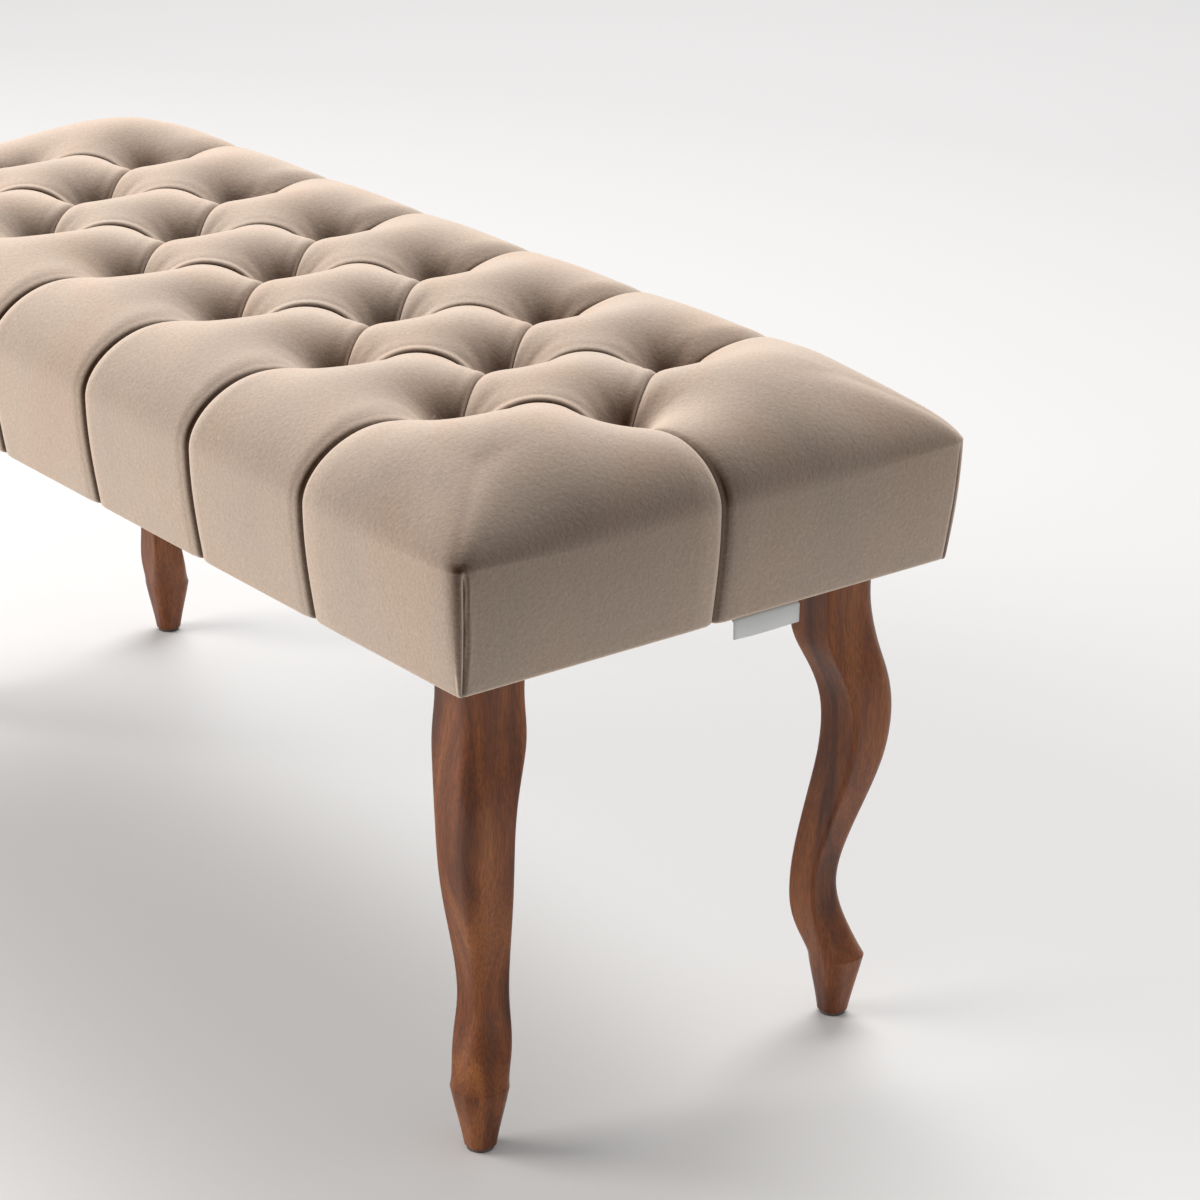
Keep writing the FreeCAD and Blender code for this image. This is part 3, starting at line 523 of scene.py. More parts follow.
def side_rows(layer, end, outward):
    """Untufted points and normals of the rows down the drawn-in side, and their heights."""
    drop = np.linspace(0, 1, layer.side_rows + 1)[1:]
    spacing = SIDE_ROWS_EVEN * drop + (1 - SIDE_ROWS_EVEN) * drop ** 2
    heights = EDGE_HEIGHT - (EDGE_HEIGHT - layer.floor) * spacing
    rise = (heights - SEAT_BOTTOM) / (EDGE_HEIGHT - SEAT_BOTTOM) * math.pi / 2
    reach = SIDE_BULGE * (np.sin(rise) - 1)
    lean = SIDE_BULGE * np.cos(rise) * math.pi / 2 / (EDGE_HEIGHT - SEAT_BOTTOM)
    base = end[:, None, :] + outward[:, None, :] * reach[None, :, None]
    lift_left = 1 - smooth(EDGE_HEIGHT - heights, 0, CORNER_LIFT_FADE)
    lift = CORNER_LIFT * cornering(end[:, 0], end[:, 1])[:, None] * lift_left
    base = np.concatenate([base, (heights + lift)[..., None]], axis=-1)
    normal = np.concatenate([
        np.broadcast_to(outward[:, None, :], base.shape[:2] + (2,)),
        np.broadcast_to(-lean[None, :, None], base.shape[:2] + (1,)),
    ], axis=-1)
    return base, normal / np.linalg.norm(normal, axis=-1, keepdims=True), heights


def outward_points(layer, start, end, near, middle, place=None):
    """Points from an inner border out over the edge, down the side and along the hem.
    Place holds the outline distances of the columns where they pass a corner of the seat."""
    top = crown_rows(layer, start, end, near)
    x = top[..., 0]
    y = top[..., 1]
    base = np.stack([x, y, crown_height(x, y)], axis=-1)
    outward = crown_normal(end[:, 0], end[:, 1])[:, :2]
    outward = outward / np.linalg.norm(outward, axis=-1, keepdims=True)
    side_base, side_normal, heights = side_rows(layer, end, outward)
    base = np.concatenate([base, side_base], axis=1)
    normal = np.concatenate([crown_normal(x, y), side_normal], axis=1)
    ones = np.ones((1, len(heights)))
    below = np.concatenate([np.zeros_like(x), np.ones((len(end), 1)) * (EDGE_HEIGHT - heights)], axis=1)
    x = np.concatenate([x, end[:, :1] * ones], axis=1)
    y = np.concatenate([y, end[:, 1:] * ones], axis=1)
    points = settle(layer, base, normal, x, y, below, middle)
    if layer.folds and place is not None:
        points = fold_corner(points, normal, place, below, middle[1])
    if layer.hem:
        points = np.concatenate([points] + layer.hem(points[:, -1], outward), axis=1)
    return points


def fold_corner(points, normal, place, below, side):
    """Upright fold that takes up the spare cloth at a corner, on the side of the end."""
    strength = 1.0 if side < 0 else BACK_FOLD_SHARE
    aside = place[:, None] - CORNER_PLACE - CORNER_FOLD_IN - CORNER_FOLD_DRIFT * below
    near = smooth(below, CORNER_FOLD_START, CORNER_FOLD_FULL) * strength
    soft_side = np.exp(-(np.abs(aside) / CORNER_FOLD_SOFT) ** CORNER_FOLD_SOFT_POWER)
    lip_side = np.exp(-(aside / CORNER_FOLD_SHARP) ** 2)
    groove = CORNER_FOLD_DEPTH * np.where(aside < 0, soft_side, lip_side)
    lip = CORNER_FOLD_LIP * np.exp(-((aside - CORNER_LIP_PLACE) / CORNER_LIP_WIDTH) ** 2)
    return points - normal * (near * (groove - lip))[..., None]


def hem_rows(last, outward, insets, height):
    """Rows of the hem at these distances in from the bottom edge."""
    rows = []
    for inset in insets:
        limit = np.array((HALF_LENGTH, HALF_WIDTH)) - SIDE_BULGE - inset
        point = last.copy()
        point[:, :2] = np.clip(last[:, :2] - outward * inset, -limit, limit)
        point[:, 2] = height
        rows.append(point[:, None, :])
    return rows


def cover_hem(last, outward):
    """Round bottom edge, then the hem that lies flat under the rails."""
    rows = []
    for turn in np.radians(EDGE_TURNS):
        point = last.copy()
        point[:, :2] -= outward * EDGE_ROUND * (1 - math.cos(turn))
        point[:, 2] = SEAT_BOTTOM + EDGE_ROUND * (1 - math.sin(turn))
        rows.append(point[:, None, :])
    return rows + hem_rows(last, outward, COVER_HEM_INSETS, SEAT_BOTTOM)


def lining_hem(last, outward):
    """Upper face of the hem."""
    return hem_rows(last, outward, LINING_HEM_INSETS, SEAT_BOTTOM + HEM_THICKNESS)


def corner_places(near, count):
    """Outline distances of a corner panel's columns: close together at its pleats and at its corner."""
    start = OUTER_TUFTS[OUTER_ROW_TUFTS - 1][0]
    end = OUTLINE_LENGTHS[-1]
    fine = [CORNER_PLACE + step for step in CORNER_STEPS]
    first = [start + step for step in near]
    last = [end - step for step in reversed(near)]
    left = count - len(fine) - len(first) - len(last)
    if left < FEWEST_PLAIN_COLUMNS:
        return np.linspace(start, end, count)
    long_room = fine[0] - first[-1]
    end_room = last[0] - fine[-1]
    on_long = round(left * long_room / (long_room + end_room))
    on_end = left - on_long
    long_part = [first[-1] + long_room * (k + 1) / (on_long + 1) for k in range(on_long)]
    end_part = [fine[-1] + end_room * (k + 1) / (on_end + 1) for k in range(on_end)]
    return np.array(first + long_part + fine + end_part + last)


def tufted_skin(layer):
    """The whole tufted surface as one bmesh that is open at its bottom."""
    skin = bmesh.new()
    for j in range(OUTER_ROW_TUFTS):
        place_grid(skin, diamond_points(layer, j), False)
    share = spread(DIAGONAL, layer.near, layer.spacing)[:, None] / DIAGONAL
    near = np.array(layer.near)
    slant = DIAGONAL / (TUFT_PITCH / 2)
    for side in (-1, 1):
        row = OUTER_TUFTS[:OUTER_ROW_TUFTS] if side < 0 else OUTER_TUFTS[OUTER_ROW_TUFTS:]
        for k in range(OUTER_ROW_TUFTS - 1):
            left = np.array(row[k])
            apex = np.array(MIDDLE_TUFTS[k + 1])
            right = np.array(row[k + 1])
            start = np.concatenate([left + share * (apex - left), apex + share[1:] * (right - apex)])
            end = np.stack([start[:, 0], np.full(len(start), side * HALF_WIDTH)], axis=-1)
            points = outward_points(layer, start, end, near * slant, (apex[0], side * HALF_WIDTH))
            place_grid(skin, points, side < 0)
        for way in (-1, 1):
            tuft = np.array((way * OUTER_TUFTS[OUTER_ROW_TUFTS - 1][0], side * TUFT_ROW_OFFSET))
            apex = np.array((way * MIDDLE_TUFTS[-1][0], 0.0))
            start = tuft + share * (apex - tuft)
            place = corner_places(layer.near, len(start))
            end = np.stack(outline_at(place), axis=-1) * (way, side)
            middle = (way * HALF_LENGTH, side * HALF_WIDTH)
            widened = 1 + (slant - 1) * (1 - smooth(share, 0, WIDENED_UNTIL))
            points = outward_points(layer, start, end, widened * near, middle, place)
            place_grid(skin, points, way * side < 0)
    bmesh.ops.remove_doubles(skin, verts=skin.verts[:], dist=MERGE_DISTANCE)
    return skin


# Pieces


def add_piece(name, made, slot, *replaced):
    """Turns a bmesh into a smooth piece that rides with the bench."""
    mesh = bpy.data.meshes.new(name)
    made.to_mesh(mesh)
    made.free()
    mesh.shade_smooth()
    piece = bpy.data.objects.new(name, mesh)
    bpy.context.scene.collection.objects.link(piece)
    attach(piece, "root")
    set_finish(piece, slot)
    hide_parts(*replaced)
    return piece


def join_inner(outer, inner):
    """Adds an inner wall that faces inwards, and closes the two walls along their bottom edges."""
    bmesh.ops.reverse_faces(inner, faces=inner.faces[:])
    add_mesh(outer, inner)
    rims = [edge for edge in outer.edges if edge.is_boundary]
    bmesh.ops.bridge_loops(outer, edges=rims)


def make_cover():
    """Velvet cover: tufted outside, plain inside and a hem turned under."""
    outside = tufted_skin(Layer(
        offset=0.0, near=NEAR_STEPS, spacing=2.8 * MM, top_rows=36, side_rows=16,
        floor=SEAT_BOTTOM + EDGE_ROUND, hem=cover_hem, folds=True))
    inside = tufted_skin(Layer(
        offset=COVER_THICKNESS, near=COARSE_STEPS, spacing=10 * MM, top_rows=16, side_rows=6,
        floor=SEAT_BOTTOM + HEM_THICKNESS, hem=lining_hem))
    join_inner(outside, inside)
    cover = add_piece("velvet_cover", outside, "velvet", "cover")
    return cover


def make_wadding():
    """Soft layer over the foam and down the outside of the frame."""
    floor = SEAT_BOTTOM + HEM_THICKNESS + BOARD_GAP
    outside = tufted_skin(Layer(
        offset=COVER_THICKNESS + COVER_GAP, near=COARSE_STEPS, spacing=7 * MM, top_rows=20, side_rows=8,
        floor=floor))
    inside = tufted_skin(Layer(
        offset=COVER_THICKNESS + WADDING_THICKNESS - FOAM_OVERLAP, near=COARSE_STEPS, spacing=11 * MM,
        top_rows=16, side_rows=6, floor=floor))
    join_inner(outside, inside)
    wadding = add_piece("fibre_wadding", outside, "polyester_wadding", "wadding")
    return wadding


def make_foam():
    """Foam block with its pockets, flat where it lies on the board."""
    board_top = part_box("seat_board")[1][2]
    foam = tufted_skin(Layer(
        offset=COVER_THICKNESS + WADDING_THICKNESS, near=COARSE_STEPS, spacing=9 * MM, top_rows=18,
        side_rows=4, floor=board_top + BOARD_GAP))
    rim = [edge for edge in foam.edges if edge.is_boundary]
    bmesh.ops.edgeloop_fill(foam, edges=rim)
    pad = add_piece("foam_block", foam, "upholstery_foam", "foam_pad")
    return pad


def make_buttons():
    """Buttons covered in the seat's velvet: a pleated skirt drawn in under a low dome."""
    low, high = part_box("tuft_buttons")
    radius = (high[1] - low[1]) / 2 - TUFT_ROW_OFFSET
    made = bmesh.new()
    for x, y in OUTER_TUFTS + MIDDLE_TUFTS:
        button = bmesh.new()
        bmesh.ops.create_uvsphere(button, u_segments=28, v_segments=14, radius=radius)
        for vertex in button.verts:
            angle = math.atan2(vertex.co.y, vertex.co.x)
            rise = vertex.co.z / radius
            out = math.hypot(vertex.co.x, vertex.co.y) / radius
            waves = math.cos(BUTTON_GATHERS * angle) * smooth(out, BUTTON_GATHER_START, 1.0)
            gather = 1 + BUTTON_GATHER_DEPTH * waves
            reach = 1 - BUTTON_WAIST if rise > 0 else BUTTON_WAIST
            height = (high[2] - low[2]) * (BUTTON_WAIST + reach * rise)
            vertex.co = (x + vertex.co.x * gather, y + vertex.co.y * gather, low[2] + height)
        add_mesh(made, button)
    return add_piece("covered_buttons", made, "velvet", "tuft_buttons")


def make_dust_cover():
    """Thin black cloth pulled across the underside, a little slack between the rails."""
    low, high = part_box("dust_cover")
    made = bmesh.new()
    bmesh.ops.create_grid(made, x_segments=96, y_segments=38, size=0.5)
    half_x = high[0]
    half_y = high[1]
    for vertex in made.verts:
        x = vertex.co.x * 2 * half_x
        y = vertex.co.y * 2 * half_y
        inside = smooth(half_x - abs(x), SLACK_MARGIN, SLACK_FULL_ALONG)
        inside = inside * smooth(half_y - abs(y), SLACK_MARGIN, SLACK_FULL_ACROSS)
        sway = RIPPLE_SWAY * math.sin(y / RIPPLE_SWAY_LENGTH)
        ripple = RIPPLE_DEPTH * math.sin(x / RIPPLE_LENGTH + sway)
        vertex.co = (x, y, high[2] - (SLACK_DEPTH + ripple) * inside)
    piece = add_piece("underside_cloth", made, "black_nonwoven", "dust_cover")
    wall = piece.modifiers.new("cloth thickness", "SOLIDIFY")
    wall.thickness = high[2] - low[2]
    wall.offset = -1
    return piece


def make_care_tag():
    """Blank tape folded in two, its ends under the edge of the seat."""
    low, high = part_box("care_tag")
    half = TAPE_HALF_THICKNESS
    face = high[0] - 2 * half
    top = high[2]
    bottom = low[2]
    route = [
        (low[0], top - half),
        (face - 3 * MM, top - half),
        (face, top - 2 * MM),
        (face + 0.4 * MM, bottom + 1 * MM),
        (face + 0.2 * MM, bottom + half),
        (face - 0.5 * MM, bottom + half),
        (face - 0.7 * MM, bottom + 1 * MM),
        (face - 0.9 * MM, top - 2.6 * MM),
        (face - 3.4 * MM, top - 0.9 * MM),
        (low[0], top - 0.9 * MM),
    ]
    made = bmesh.new()
    bmesh.ops.create_grid(made, x_segments=TAPE_COLUMNS, y_segments=len(route) - 1, size=0.5)
    for vertex in made.verts:
        across = vertex.co.x + 0.5
        x, z = route[round((vertex.co.y + 0.5) * (len(route) - 1))]
        hang = (top - z) / (top - bottom)
        curl = TAPE_CURL * hang * math.sin(math.pi * across * TAPE_CURL_WAVES)
        vertex.co = (x + curl, low[1] + (high[1] - low[1]) * across, z - TAPE_SLANT * hang * across)
    tag = add_piece("blank_tape", made, "white_tape", "care_tag")
    wall = tag.modifiers.new("tape thickness", "SOLIDIFY")
    wall.thickness = 2 * half
    wall.offset = 0
    return tag


# Materials


def colour(code):
    """An sRGB hex value as a linear colour."""
    parts = [int(code[i:i + 2], 16) / 255 for i in (0, 2, 4)]
    return tuple(p / 12.92 if p <= 0.04045 else ((p + 0.055) / 1.055) ** 2.4 for p in parts) + (1.0,)


def add(tree, kind, inputs=None, stops=None, **settings):
    """Adds a node with its settings, its fixed values, its links and its ramp."""
    made = tree.nodes.new(kind)
    for name, value in settings.items():
        setattr(made, name, value)
    for name, value in (inputs or {}).items():
        if isinstance(value, bpy.types.NodeSocket):
            tree.links.new(value, made.inputs[name])
        else:
            made.inputs[name].default_value = value
    if stops:
        elements = made.color_ramp.elements
        while len(elements) < len(stops):
            elements.new(0.5)
        for element, (place, value) in zip(elements, stops):
            element.position = place
            element.color = value
    return made


def new_material(name):
    """An empty material, with its tree and its place on the object."""
    made = bpy.data.materials.new(name)
    made.use_nodes = True
    tree = made.node_tree
    tree.nodes.clear()
    place = add(tree, "ShaderNodeTexCoord").outputs["Object"]
    return made, tree, place


def finish_material(made, tree, shader):
    """Sends the shader to the material's surface."""
    add(tree, "ShaderNodeOutputMaterial", {"Surface": shader.outputs[0]})
    return made


def per_size(size):
    """Scale of a texture whose grain has this size."""
    return 1 / size


def noise(tree, place, size, detail, roughness=0.5, distortion=0.0):
    """Noise whose grain has this size."""
    return add(tree, "ShaderNodeTexNoise", {
        "Vector": place, "Scale": per_size(size), "Detail": detail, "Roughness": roughness,
        "Distortion": distortion})


def ramp(tree, value, stops):
    """Hex colours that a value runs through, each with its place."""
    return add(tree, "ShaderNodeValToRGB", {"Fac": value}, [(place, colour(code)) for place, code in stops])


def rescale(tree, value, source, target):
    """Moves values from one range to another."""
    return add(tree, "ShaderNodeMapRange", {
        "Value": value, "From Min": source[0], "From Max": source[1],
        "To Min": target[0], "To Max": target[1]})


def relief(tree, height, strength, distance):
    """Bump whose full height is this distance."""
    return add(tree, "ShaderNodeBump", {"Height": height, "Strength": strength, "Distance": distance})


def velvet():
    """Short pile velvet, finely crinkled: painted shade in dark brown where it faces the view, painted sheen
    in pale beige at glancing angles.
    """
    made, tree, place = new_material("short_pile_velvet")
    stretched = add(tree, "ShaderNodeMapping", {"Vector": place, "Scale": (1.0, 1.0, 0.45)})
    patches = noise(tree, stretched.outputs["Vector"], 60 * MM, 3.0, distortion=0.5)
    mottle = noise(tree, place, 2.0 * MM, 4.0)
    crinkle = noise(tree, place, 3.4 * MM, 4.0, roughness=0.55, distortion=0.3)
    # Painted shade and painted sheen: the dark tone is painted shade where the pile faces the view, the pale
    # tone is painted sheen at glancing angles; both vary at random in patches
    face_on_shade_tone = ramp(tree, patches.outputs["Fac"], [(0.3, "3a271a"), (0.5, "3e2a1c"), (0.7, "40291a")])
    pale = ramp(tree, patches.outputs["Fac"], [(0.3, "d8c6b6"), (0.5, "ddc9b8"), (0.7, "ddc6b3")])
    shade = rescale(tree, mottle.outputs["Fac"], (0.3, 0.7), (0.9, 1.08))
    bump = relief(tree, crinkle.outputs["Fac"], 0.5, 0.5 * MM)
    # Two copies of the pile, one in painted shade and one in painted sheen, each also with a real sheen layer
    lit_and_shaded_piles = []
    for tone, sheen in ((face_on_shade_tone, 0.05), (pale, 0.35)):
        pile = add(tree, "ShaderNodeVectorMath", {0: tone.outputs["Color"], 1: shade.outputs["Result"]},
                   operation="MULTIPLY")
        lit_and_shaded_piles.append(add(tree, "ShaderNodeBsdfPrincipled", {
            "Base Color": pile.outputs["Vector"], "Roughness": 0.95, "Specular IOR Level": 0.08,
            "Sheen Weight": sheen, "Sheen Roughness": 0.4, "Sheen Tint": colour("f3e6d9"),
            "Normal": bump.outputs["Normal"]}))
    # Painted sheen: Layer Weight facing mixes the painted-shade pile into the painted-sheen pile towards
    # glancing angles
    across = add(tree, "ShaderNodeLayerWeight", {"Blend": 0.7, "Normal": bump.outputs["Normal"]})
    shader = add(tree, "ShaderNodeMixShader", {
        0: across.outputs["Facing"], 1: lit_and_shaded_piles[0].outputs[0], 2: lit_and_shaded_piles[1].outputs[0]})
    return finish_material(made, tree, shader)


def stained_beech():
    """Beech under brown stain and satin lacquer: fine dark flecks along the leg, soft reflections."""
    made, tree, place = new_material("stained_beech")
    grain_space = add(tree, "ShaderNodeMapping", {"Vector": place, "Scale": (1.0, 1.0, 0.09)})
    bend = noise(tree, grain_space.outputs["Vector"], 26 * MM, 3.0, distortion=0.8)
    fleck = noise(tree, grain_space.outputs["Vector"], 1.1 * MM, 2.0)
    wood = ramp(tree, bend.outputs["Fac"], [(0.32, "4f260e"), (0.5, "7b411c"), (0.7, "9a5c2c")])
    marks = rescale(tree, fleck.outputs["Fac"], (0.36, 0.62), (0.7, 1.08))
    stain = add(tree, "ShaderNodeVectorMath", {0: wood.outputs["Color"], 1: marks.outputs["Result"]},
                operation="MULTIPLY")
    bump = relief(tree, fleck.outputs["Fac"], 0.12, 0.2 * MM)
    shader = add(tree, "ShaderNodeBsdfPrincipled", {
        "Base Color": stain.outputs["Vector"], "Roughness": 0.5, "Specular IOR Level": 0.25,
        "Coat Weight": 0.3, "Coat Roughness": 0.15,
        "Normal": bump.outputs["Normal"]})
    return finish_material(made, tree, shader)


def planed_pine():
    """Raw planed pine: pale yellow with long darker rings."""
    made, tree, place = new_material("planed_pine")
    along = add(tree, "ShaderNodeMapping", {"Vector": place, "Scale": (0.06, 1.0, 1.0)})
    rings = add(tree, "ShaderNodeTexWave", {"Vector": along.outputs["Vector"], "Scale": per_size(60 * MM),
                                            "Distortion": 6.0, "Detail": 3.0})
    wood = ramp(tree, rings.outputs["Fac"], [(0.0, "e3bd85"), (0.7, "d9ab6d"), (1.0, "bd8647")])
    shader = add(tree, "ShaderNodeBsdfPrincipled", {"Base Color": wood.outputs["Color"], "Roughness": 0.7})
    return finish_material(made, tree, shader)


def raw_plywood():
    """Birch plywood: pale faces and darker glue lines along its edges."""
    made, tree, place = new_material("raw_plywood")
    plies = add(tree, "ShaderNodeTexWave", {"Vector": place, "Scale": per_size(20 * MM), "Distortion": 0.4},
                bands_direction="Z")
    face = noise(tree, place, 30 * MM, 5.0)
    lines = ramp(tree, plies.outputs["Fac"], [(0.0, "a57a4c"), (0.3, "cda877"), (1.0, "d9b98b")])
    shade = rescale(tree, face.outputs["Fac"], (0.0, 1.0), (0.85, 1.1))
    wood = add(tree, "ShaderNodeVectorMath", {0: lines.outputs["Color"], 1: shade.outputs["Result"]},
               operation="MULTIPLY")
    shader = add(tree, "ShaderNodeBsdfPrincipled", {"Base Color": wood.outputs["Vector"], "Roughness": 0.75})
    return finish_material(made, tree, shader)


def zinc_steel():
    """Bright zinc plating on steel: cool grey with a faint spangle."""
    made, tree, place = new_material("bright_zinc_plating")
    spangle = noise(tree, place, 2 * MM, 2.0)
    tone = ramp(tree, spangle.outputs["Fac"], [(0.3, "b9bdc2"), (0.7, "d5d8dc")])
    rough = rescale(tree, spangle.outputs["Fac"], (0.0, 1.0), (0.22, 0.38))
    shader = add(tree, "ShaderNodeBsdfPrincipled", {
        "Base Color": tone.outputs["Color"], "Metallic": 1.0, "Roughness": rough.outputs["Result"]})
    return finish_material(made, tree, shader)


def staple_wire():
    """Galvanised staple wire: dull grey."""
    made, tree, place = new_material("galvanised_wire")
    dull = noise(tree, place, 1 * MM, 2.0)
    tone = ramp(tree, dull.outputs["Fac"], [(0.3, "93979b"), (0.7, "b4b7ba")])
    shader = add(tree, "ShaderNodeBsdfPrincipled", {
        "Base Color": tone.outputs["Color"], "Metallic": 1.0, "Roughness": 0.45})
    return finish_material(made, tree, shader)


def fibre_wadding():
    """Polyester wadding: white and fluffy."""
    made, tree, place = new_material("polyester_wadding")
    fluff = noise(tree, place, 6 * MM, 6.0, roughness=0.7)
    tone = ramp(tree, fluff.outputs["Fac"], [(0.3, "dedede"), (0.7, "f4f4f2")])
    bump = relief(tree, fluff.outputs["Fac"], 0.8, 2 * MM)
    shader = add(tree, "ShaderNodeBsdfPrincipled", {
        "Base Color": tone.outputs["Color"], "Roughness": 1.0, "Sheen Weight": 0.4,
        "Normal": bump.outputs["Normal"]})
    return finish_material(made, tree, shader)


def upholstery_foam():
    """Cut polyurethane foam: pale yellow with open cells about a millimetre across."""
    made, tree, place = new_material("polyurethane_foam")
    cells = add(tree, "ShaderNodeTexVoronoi", {"Vector": place, "Scale": per_size(1.2 * MM)})
    tone = ramp(tree, cells.outputs["Distance"], [(0.1, "b9aa78"), (0.6, "ece0b4")])
    bump = relief(tree, cells.outputs["Distance"], 0.6, 0.5 * MM)
    shader = add(tree, "ShaderNodeBsdfPrincipled", {
        "Base Color": tone.outputs["Color"], "Roughness": 0.95, "Normal": bump.outputs["Normal"]})
    return finish_material(made, tree, shader)


def waxed_twine():
    """Waxed twine: undyed, its twist drawn as slanting bands 1 mm apart."""
    made, tree, place = new_material("waxed_twine")
    twist = add(tree, "ShaderNodeTexWave", {"Vector": place, "Scale": per_size(6 * MM), "Distortion": 1.0},
                bands_direction="DIAGONAL")
    tone = ramp(tree, twist.outputs["Fac"], [(0.1, "a8966f"), (0.9, "dccfae")])
    bump = relief(tree, twist.outputs["Fac"], 0.6, 0.2 * MM)
    shader = add(tree, "ShaderNodeBsdfPrincipled", {
        "Base Color": tone.outputs["Color"], "Roughness": 0.55, "Normal": bump.outputs["Normal"]})
    return finish_material(made, tree, shader)


def pressed_felt():
    """Pressed wool felt: dark grey-brown, matted."""
    made, tree, place = new_material("pressed_felt")
    mat = noise(tree, place, 1.5 * MM, 4.0)
    tone = ramp(tree, mat.outputs["Fac"], [(0.3, "4b4540"), (0.7, "6b635c")])
    bump = relief(tree, mat.outputs["Fac"], 0.6, 0.4 * MM)
    shader = add(tree, "ShaderNodeBsdfPrincipled", {
        "Base Color": tone.outputs["Color"], "Roughness": 1.0, "Sheen Weight": 0.2,
        "Normal": bump.outputs["Normal"]})
    return finish_material(made, tree, shader)


def black_nonwoven():
    """Spunbond polypropylene: black, dimpled by rows of weld points 2 mm apart."""
    made, tree, place = new_material("spunbond_cloth")
    points = add(tree, "ShaderNodeTexVoronoi", {
        "Vector": place, "Scale": per_size(2 * MM), "Randomness": 0.1})
    fibres = noise(tree, place, 1.4 * MM, 4.0)
    tone = ramp(tree, fibres.outputs["Fac"], [(0.35, "1b1b1c"), (0.7, "303032")])
    bump = relief(tree, points.outputs["Distance"], 0.7, 0.3 * MM)
    shader = add(tree, "ShaderNodeBsdfPrincipled", {
        "Base Color": tone.outputs["Color"], "Roughness": 0.8, "Normal": bump.outputs["Normal"]})
    return finish_material(made, tree, shader)


def white_tape():
    """Woven satin tape: grey-white with a fine rib across it."""
    made, tree, place = new_material("woven_satin_tape")
    rib = add(tree, "ShaderNodeTexWave", {"Vector": place, "Scale": per_size(3 * MM), "Distortion": 0.3},
              bands_direction="Y")
    tone = ramp(tree, rib.outputs["Fac"], [(0.0, "cfd0d0"), (1.0, "dcdddc")])
    bump = relief(tree, rib.outputs["Fac"], 0.2, 0.1 * MM)
    shader = add(tree, "ShaderNodeBsdfPrincipled", {
        "Base Color": tone.outputs["Color"], "Roughness": 0.45, "Sheen Weight": 0.3,
        "Normal": bump.outputs["Normal"]})
    return finish_material(made, tree, shader)


def paint_everything(pieces):
    """Gives each piece and each remaining CAD node the material of its slot."""
    finishes = {
        "velvet": velvet(), "stained_beech": stained_beech(), "pine": planed_pine(), "plywood": raw_plywood(),
        "zinc_steel": zinc_steel(), "staple_wire": staple_wire(), "polyester_wadding": fibre_wadding(),
        "upholstery_foam": upholstery_foam(), "twine": waxed_twine(), "felt": pressed_felt(),
        "black_nonwoven": black_nonwoven(), "white_tape": white_tape(),
    }
    for row in frame["record"]["subparts"]:
        shown = frame["nodes"][row["node"]]
        shown.data.materials.clear()
        shown.data.materials.append(finishes[row["material_slot"]])
    for piece in pieces:
        piece.data.materials.append(finishes[piece["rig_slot"]])


# Studio


def area_light(name, place, target, size, power, tint):
    """Softbox that shines from a place towards a target."""
    data = bpy.data.lights.new(name, "AREA")
    data.shape = "RECTANGLE"
    data.size, data.size_y = size
    data.energy = power
    data.color = colour(tint)[:3]
    light = bpy.data.objects.new(name, data)
    light.location = place
    light.rotation_euler = (Vector(target) - Vector(place)).to_track_quat("-Z", "Y").to_euler()
    bpy.context.scene.collection.objects.link(light)


# Floor: half its size, the way in which painted shade darkens its paper, and where that starts and ends
FLOOR_HALF_SIZE = 20
PAINTED_SHADE_WAY = (-0.5, 0.87, 0.0)
PAINTED_SHADE_START = -1.5
PAINTED_SHADE_END = 2.5


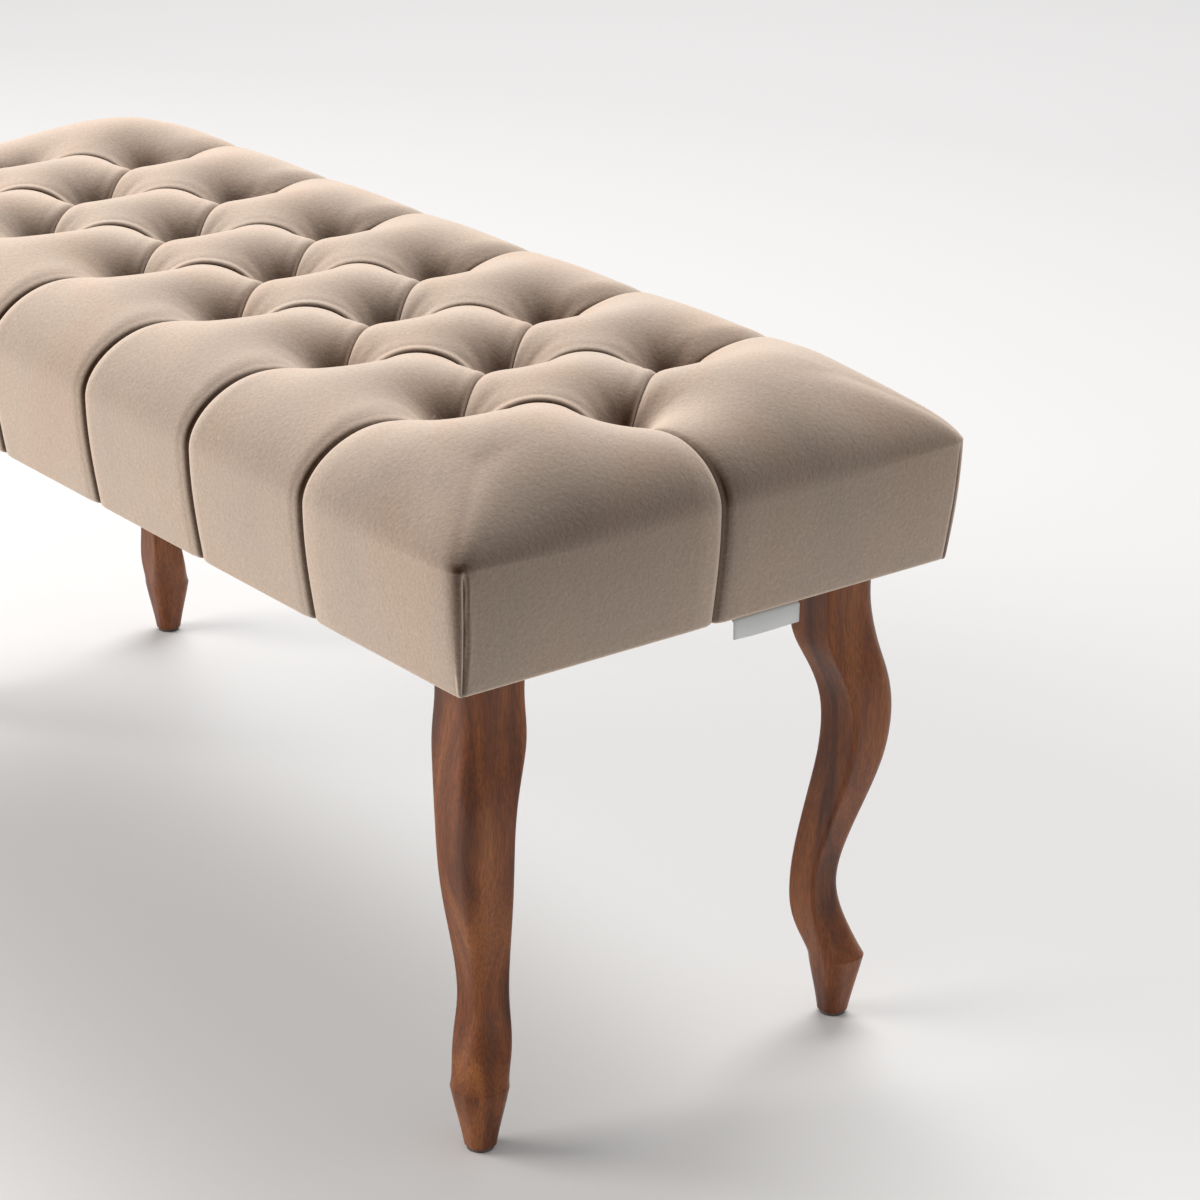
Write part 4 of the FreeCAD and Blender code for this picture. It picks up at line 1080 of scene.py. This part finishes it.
def make_studio():
    """Pale floor darkened towards the back left by painted shade, soft boxes behind and to the left, and a
    plain sky of soft light.
    """
    made = bmesh.new()
    bmesh.ops.create_grid(made, x_segments=2, y_segments=2, size=FLOOR_HALF_SIZE)
    mesh = bpy.data.meshes.new("floor")
    made.to_mesh(mesh)
    made.free()
    floor = bpy.data.objects.new("floor", mesh)
    bpy.context.scene.collection.objects.link(floor)
    paper, tree, place = new_material("backdrop_paper")
    # Painted shade: the paper's colour runs from near white to grey along the painted shade's way, towards
    # the back left of the bench
    away = add(tree, "ShaderNodeVectorMath", {0: place, 1: PAINTED_SHADE_WAY}, operation="DOT_PRODUCT")
    share = rescale(tree, away.outputs["Value"], (PAINTED_SHADE_START, PAINTED_SHADE_END), (0.0, 1.0))
    tone = ramp(tree, share.outputs["Result"], [(0.0, "f2f1ef"), (0.4, "e6e5e4"), (1.0, "cbcaca")])
    shader = add(tree, "ShaderNodeBsdfPrincipled", {"Base Color": tone.outputs["Color"], "Roughness": 0.9})
    finish_material(paper, tree, shader)
    mesh.materials.append(paper)

    area_light("back_box", place=(-2.2, 2.6, 4.9), target=(0, 0, 0.4), size=(4.2, 3.2), power=255,
               tint="ffffff")
    area_light("left_box", place=(-2.0, -2.8, 2.3), target=(0.0, -0.3, 0.2), size=(2.4, 1.8), power=94,
               tint="fffaf6")

    world = bpy.data.worlds.new("studio")
    world.use_nodes = True
    tree = world.node_tree
    tree.nodes.clear()
    sky = add(tree, "ShaderNodeBackground", {"Color": colour("ffffff"), "Strength": 0.48})
    white = add(tree, "ShaderNodeBackground", {"Color": colour("f2f2f2"), "Strength": 1.0})
    path = add(tree, "ShaderNodeLightPath")
    mixed = add(tree, "ShaderNodeMixShader", {
        0: path.outputs["Is Camera Ray"], 1: sky.outputs[0], 2: white.outputs[0]})
    add(tree, "ShaderNodeOutputWorld", {"Surface": mixed.outputs[0]})
    bpy.context.scene.world = world


# Camera: where the photograph was taken from, found from the seat's and the feet's corners in it
CAMERA_PLACE = (1.98639, -1.25415, 1.12279)
CAMERA_HEADING = 142.02
CAMERA_TILT = 21.38
CAMERA_ROLL = 0.4
SENSOR_WIDTH = 36.0
PHOTO_SIZE = 1200
FOCAL_PIXELS = 3306.5


def make_camera():
    """Camera with the photograph's place, heading, tilt, roll and focal length."""
    data = bpy.data.cameras.new("camera")
    data.sensor_width = SENSOR_WIDTH
    data.lens = data.sensor_width * FOCAL_PIXELS / PHOTO_SIZE
    camera = bpy.data.objects.new("camera", data)
    heading = math.radians(CAMERA_HEADING)
    tilt = math.radians(CAMERA_TILT)
    roll = math.radians(CAMERA_ROLL)
    ahead = Vector((math.cos(heading) * math.cos(tilt), math.sin(heading) * math.cos(tilt), -math.sin(tilt)))
    right = ahead.cross(Vector((0, 0, 1))).normalized()
    up = right.cross(ahead)
    rolled = right * math.cos(roll) + up * math.sin(roll)
    up = rolled.cross(ahead)
    camera.matrix_world = Matrix([
        (rolled.x, up.x, -ahead.x, CAMERA_PLACE[0]),
        (rolled.y, up.y, -ahead.y, CAMERA_PLACE[1]),
        (rolled.z, up.z, -ahead.z, CAMERA_PLACE[2]),
        (0, 0, 0, 1),
    ])
    bpy.context.scene.collection.objects.link(camera)
    bpy.context.scene.camera = camera


pieces = [
    make_cover(),
    make_wadding(),
    make_foam(),
    make_buttons(),
    make_dust_cover(),
    make_care_tag(),
]
paint_everything(pieces)
make_studio()
make_camera()
bpy.context.scene.view_settings.view_transform = "Standard"
